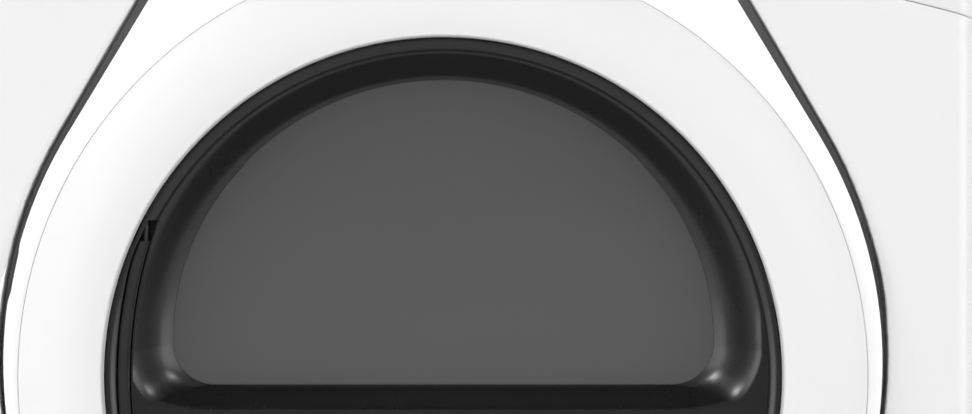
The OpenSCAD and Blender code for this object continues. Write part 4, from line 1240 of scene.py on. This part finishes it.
class DRYER_OT_dial_marks(bpy.types.Operator):
    """Print the ticks round the knob and the marks beside the buttons"""
    bl_idname = "dryer.dial_marks"
    bl_label = "Dial Marks"

    def execute(self, context):
        console = context.scene.dryer_console
        z = console.fascia_height
        y0, y1 = FRONT - 0.00215, FRONT - 0.0018
        marks = []
        for i in range(console.ticks):
            turn = math.tau * i / console.ticks
            outer, half = (0.0402, 0.00055) if i % 5 == 0 else (0.0385, 0.0003)
            marks.append(slab("tick", spoke(0, z, turn, 0.036, outer, half), y0, y1))
        for x in (-0.205, -0.194, 0.140, 0.1965):
            marks.append(slab("dash", stadium(x, x + 0.008, z, 0.0005, 6), y0, y1))
        for x, count in ((-0.122, 3), (-0.098, 2), (-0.074, 1)):
            for k in range(count):
                marks.append(slab("level", stadium(x, x + 0.016, z + 0.006 - 0.006 * k, 0.0009, 6), y0, y1))
        piece = joined("dial_marks", marks)
        place_piece(piece, "cabinet", "white_plastic", coat("lit_marks"))
        return {"FINISHED"}


def segment(x0, z0, x1, z1, half):
    """Outline of one bar of a digit, with pointed ends."""
    along = Vector((x1 - x0, z1 - z0)).normalized()
    across = Vector((-along.y, along.x)) * half
    a, b = Vector((x0, z0)) + along * 0.0002, Vector((x1, z1)) - along * 0.0002
    points = (a, a + along * half + across, b - along * half + across, b, b - along * half - across,
              a + along * half - across)
    return [tuple(p) for p in points]


class DRYER_OT_display(bpy.types.Operator):
    """Build the display's window and its digits"""
    bl_idname = "dryer.display"
    bl_label = "Display"

    def execute(self, context):
        low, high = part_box("display_window")
        piece = slab("display_pane", rounded_box(low[0], low[2], high[0], high[2], 0.0015), low[1], high[1],
                     edge=0.0004)
        smooth(piece)
        place_piece(piece, "cabinet", "screen_blue", coat("display_glass"), "display_window")
        z = (low[2] + high[2]) / 2
        wide, tall, half = 0.0085, 0.009, 0.0007
        bars = {"top": (0, tall, wide, tall), "middle": (0, 0, wide, 0), "bottom": (0, -tall, wide, -tall),
                "upper_left": (0, 0, 0, tall),
                "upper_right": (wide, 0, wide, tall), "lower_left": (0, -tall, 0, 0),
                "lower_right": (wide, -tall, wide, 0)}
        digits = ((low[0] + 0.012, ("upper_left", "upper_right", "middle", "lower_right")),
                  (low[0] + 0.033, ("top", "upper_right", "middle", "lower_right", "bottom", "upper_left",
                                    "lower_left")),
                  (low[0] + 0.048, ("top", "upper_left", "middle", "lower_right", "bottom")))
        parts = []
        for x, lit in digits:
            for bar in lit:
                x0, z0, x1, z1 = bars[bar]
                parts.append(slab("bar", segment(x + x0, z + z0, x + x1, z + z1, half), low[1] - 0.00012,
                                  low[1] + 0.0002))
        for step in (-0.004, 0.004):
            parts.append(slab("colon", ring_points(low[0] + 0.0268, z + step, 0.0009, 12), low[1] - 0.00012,
                              low[1] + 0.0002))
        piece = joined("display_digits", parts)
        place_piece(piece, "cabinet", "white_plastic", coat("lit_digits"))
        return {"FINISHED"}


class DRYER_OT_knob(bpy.types.Operator):
    """Build the ridged cycle knob with its pointer"""
    bl_idname = "dryer.knob"
    bl_label = "Cycle Knob"

    def execute(self, context):
        console = context.scene.dryer_console
        z = console.fascia_height
        radius = console.knob_radius
        front = knob_low[1]
        count = console.ridges * 6
        rim = []
        for i in range(count):
            turn = math.tau * i / count
            r = radius - 0.0009 + 0.0004 * math.cos(turn * console.ridges)
            rim.append((r * math.cos(turn), z + r * math.sin(turn)))
        grip = slab("knob_grip", rim, front + 0.003, FRONT - 0.0055, edge=0.0005, segments=2)
        profile = [(0.0, front + 0.0012), (0.014, front + 0.0009), (0.022, front + 0.0003),
                   (radius - 0.0052, front),
                   (radius - 0.0034, front + 0.0006), (radius - 0.0022, front + 0.0018),
                   (radius - 0.0020, front + 0.004), (0.0, front + 0.004)]
        cap = turned("knob_cap", profile, 0.0, z, steps=96)
        profile = [(0.0, FRONT - 0.006), (radius - 0.0004, FRONT - 0.006), (radius, FRONT - 0.0055),
                   (radius, FRONT - 0.0035), (radius - 0.0005, FRONT - 0.003), (0.0, FRONT - 0.003)]
        skirt = turned("knob_skirt", profile, 0.0, z, steps=96)
        profile = [(0.0, FRONT - 0.004), (0.006, FRONT - 0.004), (0.006, FRONT + 0.019),
                   (0.005, FRONT + 0.020),
                   (0.0, FRONT + 0.020)]
        shaft = turned("knob_shaft", profile, 0.0, z, steps=48)
        piece = joined("cycle_dial", [grip, cap, skirt, shaft])
        smooth(piece)
        place_piece(piece, "cycle_knob", "chrome", coat("bright_chrome"), "cycle_knob")
        pointer = slab("knob_pointer", stadium(-0.0008, 0.0008, z, 0.0008, 6), front - 0.00015, front + 0.001)
        for vertex in pointer.data.vertices:
            vertex.co.z += 0.027 if vertex.co.z > z else 0.018
        place_piece(pointer, "cycle_knob", "black_gloss", coat("fascia_black"))
        return {"FINISHED"}


def button_profile(radius, front):
    """Closed section of a push button as (radius, y) points."""
    return [(0.0, front + 0.0007), (radius * 0.5, front + 0.0005), (radius * 0.82, front + 0.0001),
            (radius * 0.92, front), (radius - 0.0002, front + 0.0006),
            (radius, front + 0.0014), (radius, FRONT + 0.007), (0.004, FRONT + 0.007), (0.004, FRONT + 0.014),
            (0.0, FRONT + 0.014)]


class DRYER_OT_buttons(bpy.types.Operator):
    """Build the start and power buttons with their symbols"""
    bl_idname = "dryer.buttons"
    bl_label = "Push Buttons"

    def execute(self, context):
        console = context.scene.dryer_console
        z = console.fascia_height
        for node in ("start_button", "power_button"):
            low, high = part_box(node)
            x = halfway(low, high, 0)
            piece = turned(node + "_cap", button_profile(console.button_radius, low[1]), x, z, steps=64)
            smooth(piece)
            place_piece(piece, node, "white_plastic", coat("inner_white"), node)
            y0, y1 = low[1] + 0.00035, low[1] + 0.0012
            if node == "start_button":
                symbol = slab("start_symbol", [(x - 0.0022, z - 0.0032), (x + 0.0034, z),
                                               (x - 0.0022, z + 0.0032)], y0, y1)
            else:
                arc = [(x + r * math.sin(math.radians(a)), z + r * math.cos(math.radians(a)))
                       for r, sweep in ((0.0036, range(40, 321, 14)), (0.0028, range(320, 39, -14)))
                       for a in sweep]
                bar = slab("bar", stadium(x - 0.0004, x + 0.0004, z, 0.0004, 4), y0, y1)
                symbol = joined("power_symbol", [slab("arc", arc, y0, y1), bar])
                for vertex in symbol.data.vertices:
                    if abs(vertex.co.x - x) < 0.00045 and abs(vertex.co.z - z) < 0.0006:
                        vertex.co.z += 0.0044 if vertex.co.z > z else 0.001
            place_piece(symbol, node, "black_gloss", coat("fascia_black"))
        return {"FINISHED"}


# ---------------------------------------------------------------- casing

def plan_outline(inset, radius, depth, count=8):
    """Outline of the cabinet seen from above, with round front corners."""
    half = sizes()[0].half_width - inset
    front = FRONT + inset
    left = [(-half + radius - radius * math.cos(a), front + radius - radius * math.sin(a))
            for a in (math.pi / 2 * i / count for i in range(count + 1))]
    return [(-half, depth)] + left + [(-x, y) for x, y in reversed(left)] + [(half, depth)]


class DRYER_OT_top(bpy.types.Operator):
    """Build the worktop with its rolled rim"""
    bl_idname = "dryer.top"
    bl_label = "Worktop"

    def execute(self, context):
        edge = sizes()[0].edge
        roll = 0.006
        low, high = top_low[2], top_high[2]
        turns = [math.pi / 2 * i / 6 for i in range(7)]
        rows = [(0.0012, low), (0.0, low + 0.0006)]
        rows += [(roll * (1 - math.cos(a)), high - roll * (1 - math.sin(a))) for a in turns]
        rows += [(0.022, high), (0.024, high - 0.0003), (0.028, high - 0.0011), (0.030, high - 0.0012)]
        loops = [[(x, y, z) for x, y in plan_outline(inset, edge, BACK - inset)] for inset, z in rows]
        piece = loops_skin("worktop", loops)
        edit(piece)
        pick(piece, "verts", lambda p: p.z < low + 1e-5 or abs(p.z - high + 0.0012) < 1e-6)
        bpy.ops.mesh.select_mode(type="EDGE")
        bpy.ops.mesh.select_all(action="SELECT")
        bpy.ops.mesh.fill_holes(sides=0)
        bpy.ops.mesh.select_all(action="SELECT")
        bpy.ops.mesh.normals_make_consistent(inside=False)
        bpy.ops.object.mode_set(mode="OBJECT")
        smooth(piece)
        place_piece(piece, "cabinet", "white_enamel", coat("cabinet_white"), "top_panel")
        return {"FINISHED"}


FIELD_DEPTH = 0.0024
PRESSED_FIELD = [(0.0, 0.0, 0.0004), (0.05, 0.0, 0.03), (0.052, 0.0003, 0.03), (0.0545, 0.0012, 0.03),
                 (0.057, 0.0021, 0.03), (0.06, FIELD_DEPTH, 0.028)]
SHEET = 0.0009
STIFFENER = (0.06, 0.74)


class DRYER_OT_sides(bpy.types.Operator):
    """Build the two side sheets with their pressed fields"""
    bl_idname = "dryer.sides"
    bl_label = "Side Sheets"

    def execute(self, context):
        for side, node in ((-1, "left_side_panel"), (1, "right_side_panel")):
            low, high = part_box(node)
            x = side * sizes()[0].half_width
            inward = -side

            def frame_at(inset, depth, radius):
                plan = rounded_box(low[1] + inset, low[2] + inset, high[1] - inset, high[2] - inset, radius,
                                   8)
                return [(x + inward * depth, y, z) for y, z in plan]

            loops = [frame_at(*step) for step in PRESSED_FIELD]
            sheet = loops_skin(node + "_sheet", loops)
            edit(sheet)
            pick(sheet, "verts", lambda p: abs(abs(p.x - x) - FIELD_DEPTH) < 1e-6)
            bpy.ops.mesh.select_mode(type="EDGE")
            bpy.ops.mesh.edge_face_add()
            bpy.ops.object.mode_set(mode="OBJECT")
            facing(sheet, (side, 0, 0))
            thicken(sheet, SHEET)
            x0, x1 = sorted((x, x + inward * 0.016))
            flange = brick(node + "_flange", (x0, high[1] - SHEET, low[2]), (x1, high[1], high[2]),
                           edge=0.0003)
            x0, x1 = sorted((x + inward * SHEET, x + inward * 0.014))
            stiff = brick(node + "_stiffener", (x0, low[1] + 0.004, STIFFENER[0]),
                          (x1, low[1] + 0.0049, STIFFENER[1]),
                          edge=0.0002)
            piece = joined(node + "_sheet", [sheet, flange, stiff])
            smooth(piece)
            place_piece(piece, "cabinet", "white_enamel", coat("cabinet_white"), node)
        return {"FINISHED"}


LOUVRES = 10
LOUVRE_PITCH = 0.024
LOUVRE_FIRST = 0.480


class DRYER_OT_back(bpy.types.Operator):
    """Build the louvre hoods, the exhaust bead and the exhaust collar's bead on the back sheet"""
    bl_idname = "dryer.back"
    bl_label = "Back Details"

    def execute(self, context):
        face = back_high[1] - 0.002
        hoods = []
        for i in range(LOUVRES):
            z = LOUVRE_FIRST + LOUVRE_PITCH * i
            hood = brick("louvre", (0.106, face - 0.0004, z - 0.002), (0.294, face + 0.0052, z + 0.012),
                         edge=0.0012, segments=3)
            edit(hood)
            pick(hood, "verts", lambda p: p.y > face + 0.002 and p.z > z + 0.006)
            bpy.ops.transform.translate(value=(0, -0.0038, 0))
            bpy.ops.object.mode_set(mode="OBJECT")
            hoods.append(hood)
        piece = joined("louvre_hoods", hoods)
        smooth(piece, 40)
        place_piece(piece, "cabinet", "galvanised", coat("zinc"))
        low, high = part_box("exhaust_duct")
        x, z = halfway(low, high, 0), halfway(low, high, 2)
        radius = (high[0] - low[0]) / 2
        for name, y, out in (("exhaust_bead", high[1] - 0.010, 0.0016),
                             ("exhaust_collar_bead", face + 0.003, 0.004)):
            section = [(radius - 0.0002 + out * math.sin(a), y + 1.2 * out * math.cos(a))
                       for a in (math.pi * k / 10 for k in range(11))]
            piece = turned(name, section, x, z, steps=96)
            smooth(piece, 40)
            place_piece(piece, "cabinet", "galvanised", coat("zinc"))
        return {"FINISHED"}


def screw_piece(name, radius, head, shank, deep):
    """A pan-head screw with a cross recess, its head's underside at y = 0 and its head towards +y."""
    dome = [(radius * math.cos(a), head * 0.35 + head * 0.65 * math.sin(a))
            for a in (math.pi / 2 * k / 6 for k in range(6))]
    piece = turned(name, [(0.0, -deep), (shank * 0.7, -deep), (shank, -deep + 0.001), (shank, 0.0),
                          (radius, 0.0)] + dome + [(0.0, head)], steps=28)
    reach, half = radius * 0.55, radius * 0.12
    cut(piece, brick("cross", (-reach, head * 0.35, -half), (reach, head * 2, half)))
    cut(piece, brick("cross", (-half, head * 0.35, -reach), (half, head * 2, reach)))
    return piece


class DRYER_OT_screws(bpy.types.Operator):
    """Build the cross-head screws of the back sheet"""
    bl_idname = "dryer.screws"
    bl_label = "Cabinet Screws"

    def execute(self, context):
        model = screw_piece("cabinet_screw", 0.004, 0.0022, 0.0018, 0.008)
        copies = [copied(model, (x, BACK, z)) for x in (-0.310, -0.150, 0.150, 0.310)
                  for z in (0.060, 0.500, 0.930)]
        bpy.data.objects.remove(model, do_unlink=True)
        piece = joined("back_screws", copies)
        smooth(piece)
        place_piece(piece, "cabinet", "steel", coat("plain_steel"), "cabinet_screws")
        return {"FINISHED"}


FOOT_PAD = [(0.0, 0.0), (0.0178, 0.0), (0.0193, 0.0005), (0.02, 0.0018), (0.0196, 0.0034), (0.0165, 0.0075),
            (0.0143, 0.0096), (0.0130, 0.0104), (0.0, 0.0104)]
THREAD_PITCH = 0.0012


class DRYER_OT_feet(bpy.types.Operator):
    """Build the four levelling feet with their threads and nuts"""
    bl_idname = "dryer.feet"
    bl_label = "Levelling Feet"

    def execute(self, context):
        for node in ("front_left_foot", "front_right_foot", "rear_left_foot", "rear_right_foot"):
            low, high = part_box(node)
            x, y = halfway(low, high, 0), halfway(low, high, 1)
            pad = turned_up("foot_pad", FOOT_PAD, x, y)
            thread = [(0.0, 0.0098)]
            z = 0.0148
            while z < high[2] - 0.0022:
                thread += [(0.0039, z), (0.0048, z + 0.0006)]
                z += THREAD_PITCH
            stud = turned_up("foot_stud", [(0.0, 0.0148)] + thread[1:] + [(0.0039, z), (0.0, high[2])], x, y,
                             steps=24)
            nuts = []
            for z0, z1, radius in ((0.0102, 0.0160, 0.012), (0.0175, 0.02345, 0.010)):
                deselect()
                bpy.ops.mesh.primitive_cylinder_add(vertices=6, radius=radius, depth=z1 - z0,
                                                    location=(x, y, (z0 + z1) / 2))
                nuts.append(soften(settle(named("foot_nut")), 0.0006, 2, 50))
            piece = joined(node + "_leveller", [pad, stud] + nuts)
            smooth(piece)
            place_piece(piece, node, "black_rubber", coat("black_rubber"), node)
        return {"FINISHED"}


# ---------------------------------------------------------------- kept nodes

KEPT = {
    "base_pan": "zinc", "back_panel": "zinc", "door_recess": "recess_grey", "front_bulkhead": "zinc",
    "rear_bulkhead": "zinc", "drum_seals": "felt", "control_board": "board_green",
    "door_catch": "inner_white", "door_switch_body": "inner_white", "door_switch_plunger": "grip_black",
    "hinge_brackets": "plain_steel", "hinge_pins": "plain_steel", "roller_shafts": "plain_steel",
    "drum_belt": "black_rubber", "motor_housing": "motor_alloy", "motor_mount": "zinc",
    "blower_housing": "grey_moulding", "exhaust_duct": "zinc", "heater_box": "zinc",
    "heater_coil": "hot_wire", "safety_thermostats": "grip_black", "mains_terminal": "zinc",
    "moisture_bars": "bright_chrome", "drum_light": "frosted_lens", "lint_duct": "grey_moulding",
    "door_liner": "inner_white", "door_seal": "grey_rubber", "hinge_arms": "plain_steel",
    "door_strike": "plain_steel", "door_screws": "plain_steel", "drum_shell": "drum_coat",
    "drum_baffles": "inner_white", "rear_left_roller": "black_rubber", "rear_right_roller": "black_rubber",
    "motor_rotor": "plain_steel", "blower_wheel": "grey_moulding", "idler_arm": "plain_steel",
    "idler_pulley": "grey_moulding", "lint_screen": "lint_mesh",
}


class DRYER_OT_kept_nodes(bpy.types.Operator):
    """Give the frame's kept nodes their finishes"""
    bl_idname = "dryer.kept_nodes"
    bl_label = "Kept Nodes"

    def execute(self, context):
        for node, key in KEPT.items():
            dress(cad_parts[node], coat(key))
        return {"FINISHED"}


# ---------------------------------------------------------------- stage

HEART = (0, 0, 0.6)
LAMPS = (
    ("key_left", (-2.9, -2.7, 1.3), 2.4, 50), ("key_right", (2.9, -2.7, 1.3), 2.4, 50),
    ("glint_left", (-2.6, -1.4, 3.1), 0.45, 36), ("glint_right", (2.6, -1.4, 3.1), 0.45, 15),
    ("back_left", (-2.6, 2.8, 2.4), 1.6, 70), ("back_right", (2.6, 2.8, 2.4), 1.6, 70),
)
CAMERA_X, CAMERA_Z, CAMERA_AWAY = 0.0276, 0.6538, 4.0
SENSOR, PICTURE_WIDE = 36, 0.624


def area_light(name, place, size, power):
    """A soft area light that the camera doesn't see."""
    deselect()
    bpy.ops.object.light_add(type="AREA", location=place)
    light = bpy.context.object
    light.name = name
    light.data.size = size
    light.data.energy = power
    light.rotation_euler = (Vector(HEART) - Vector(place)).to_track_quat("-Z", "Y").to_euler()
    light.visible_camera = False
    return light


class DRYER_OT_stage(bpy.types.Operator):
    """Set the floor, the lights and the camera"""
    bl_idname = "dryer.stage"
    bl_label = "Stage"

    def execute(self, context):
        scene = context.scene
        deselect()
        bpy.ops.mesh.primitive_plane_add(size=60, location=(0, 0, -0.0005))
        floor = named("studio_floor")
        dress(floor, finish("StudioFloor", (0.74, 0.74, 0.74), rough=0.6, drift=0.01, smudge=0.05, skin=0.02,
                            dust=0.0))
        world = scene.world or bpy.data.worlds.new("Studio")
        scene.world = world
        world.use_nodes = True
        tree = world.node_tree
        tree.nodes.clear()
        output = tree.nodes.new("ShaderNodeOutputWorld")
        seen = add(tree, "ShaderNodeBackground", Color=(0.86, 0.86, 0.86, 1), Strength=1.0)
        ambient = add(tree, "ShaderNodeBackground", Color=(1, 1, 1, 1))
        mirrored = add(tree, "ShaderNodeBackground", Color=(1, 1, 1, 1))
        path = tree.nodes.new("ShaderNodeLightPath")
        split = tree.nodes.new("ShaderNodeSeparateXYZ")
        tree.links.new(tree.nodes.new("ShaderNodeTexCoord").outputs["Generated"], split.inputs[0])
        sideways = math_node(tree, "MULTIPLY", split.outputs["X"], split.outputs["X"])
        tree.links.new(math_node(tree, "ADD", math_node(tree, "MULTIPLY", sideways, 0.3), 0.46),
                       ambient.inputs["Strength"])
        shader = ambient.outputs[0]
        tree.links.new(math_node(tree, "ADD", math_node(tree, "MULTIPLY", sideways, 0.5), 0.45),
                       mirrored.inputs["Strength"])
        for ray, background in (("Is Glossy Ray", mirrored), ("Is Camera Ray", seen)):
            mixer = tree.nodes.new("ShaderNodeMixShader")
            tree.links.new(path.outputs[ray], mixer.inputs[0])
            tree.links.new(shader, mixer.inputs[1])
            tree.links.new(background.outputs[0], mixer.inputs[2])
            shader = mixer.outputs[0]
        tree.links.new(shader, output.inputs[0])
        for row in LAMPS:
            area_light(*row)
        bpy.ops.object.camera_add(location=(CAMERA_X, FRONT - CAMERA_AWAY, CAMERA_Z),
                                  rotation=(math.pi / 2, 0, 0))
        camera = bpy.context.object
        camera.name = "studio_camera"
        camera.data.sensor_width = SENSOR
        camera.data.lens = SENSOR * CAMERA_AWAY / PICTURE_WIDE
        camera.data.clip_end = 200
        scene.camera = camera
        scene.view_settings.view_transform = "Standard"
        return {"FINISHED"}


# ---------------------------------------------------------------- add-on

OPERATORS = (
    DRYER_OT_kept_nodes, DRYER_OT_front_sheet, DRYER_OT_console, DRYER_OT_door_plate, DRYER_OT_door_ring,
    DRYER_OT_door_bowl, DRYER_OT_door_window, DRYER_OT_door_grip, DRYER_OT_fascia, DRYER_OT_dial_marks,
    DRYER_OT_display,
    DRYER_OT_knob, DRYER_OT_buttons, DRYER_OT_top, DRYER_OT_sides, DRYER_OT_back, DRYER_OT_screws,
    DRYER_OT_feet, DRYER_OT_stage,
)
GROUPS = {
    "dryer_cabinet": DryerCabinetSizes, "dryer_door": DryerDoorSizes, "dryer_console": DryerConsoleSizes,
    "dryer_colours": DryerColours,
}


class DRYER_PT_sidebar(bpy.types.Panel):
    """Lists the dryer's pieces in the sidebar"""
    bl_idname = "DRYER_PT_sidebar"
    bl_label = "Clothes Dryer"
    bl_space_type = "VIEW_3D"
    bl_region_type = "UI"
    bl_category = "Dryer"

    def draw(self, context):
        for group_name, group in GROUPS.items():
            box = self.layout.box()
            for prop in group.__annotations__:
                box.prop(getattr(context.scene, group_name), prop)
        for operator in OPERATORS:
            self.layout.operator(operator.bl_idname)


def register():
    """Registers the groups, the operators and the panel."""
    for name, group in GROUPS.items():
        bpy.utils.register_class(group)
        setattr(bpy.types.Scene, name, bpy.props.PointerProperty(type=group))
    for item in OPERATORS + (DRYER_PT_sidebar,):
        bpy.utils.register_class(item)


def unregister():
    """Takes back what register did."""
    for item in reversed(OPERATORS + (DRYER_PT_sidebar,)):
        bpy.utils.unregister_class(item)
    for name, group in GROUPS.items():
        delattr(bpy.types.Scene, name)
        bpy.utils.unregister_class(group)


def main():
    """Builds every piece in order."""
    register()
    for operator in OPERATORS:
        category, verb = operator.bl_idname.split(".")
        getattr(getattr(bpy.ops, category), verb)()
    deselect()


if __name__ == "__main__":
    main()
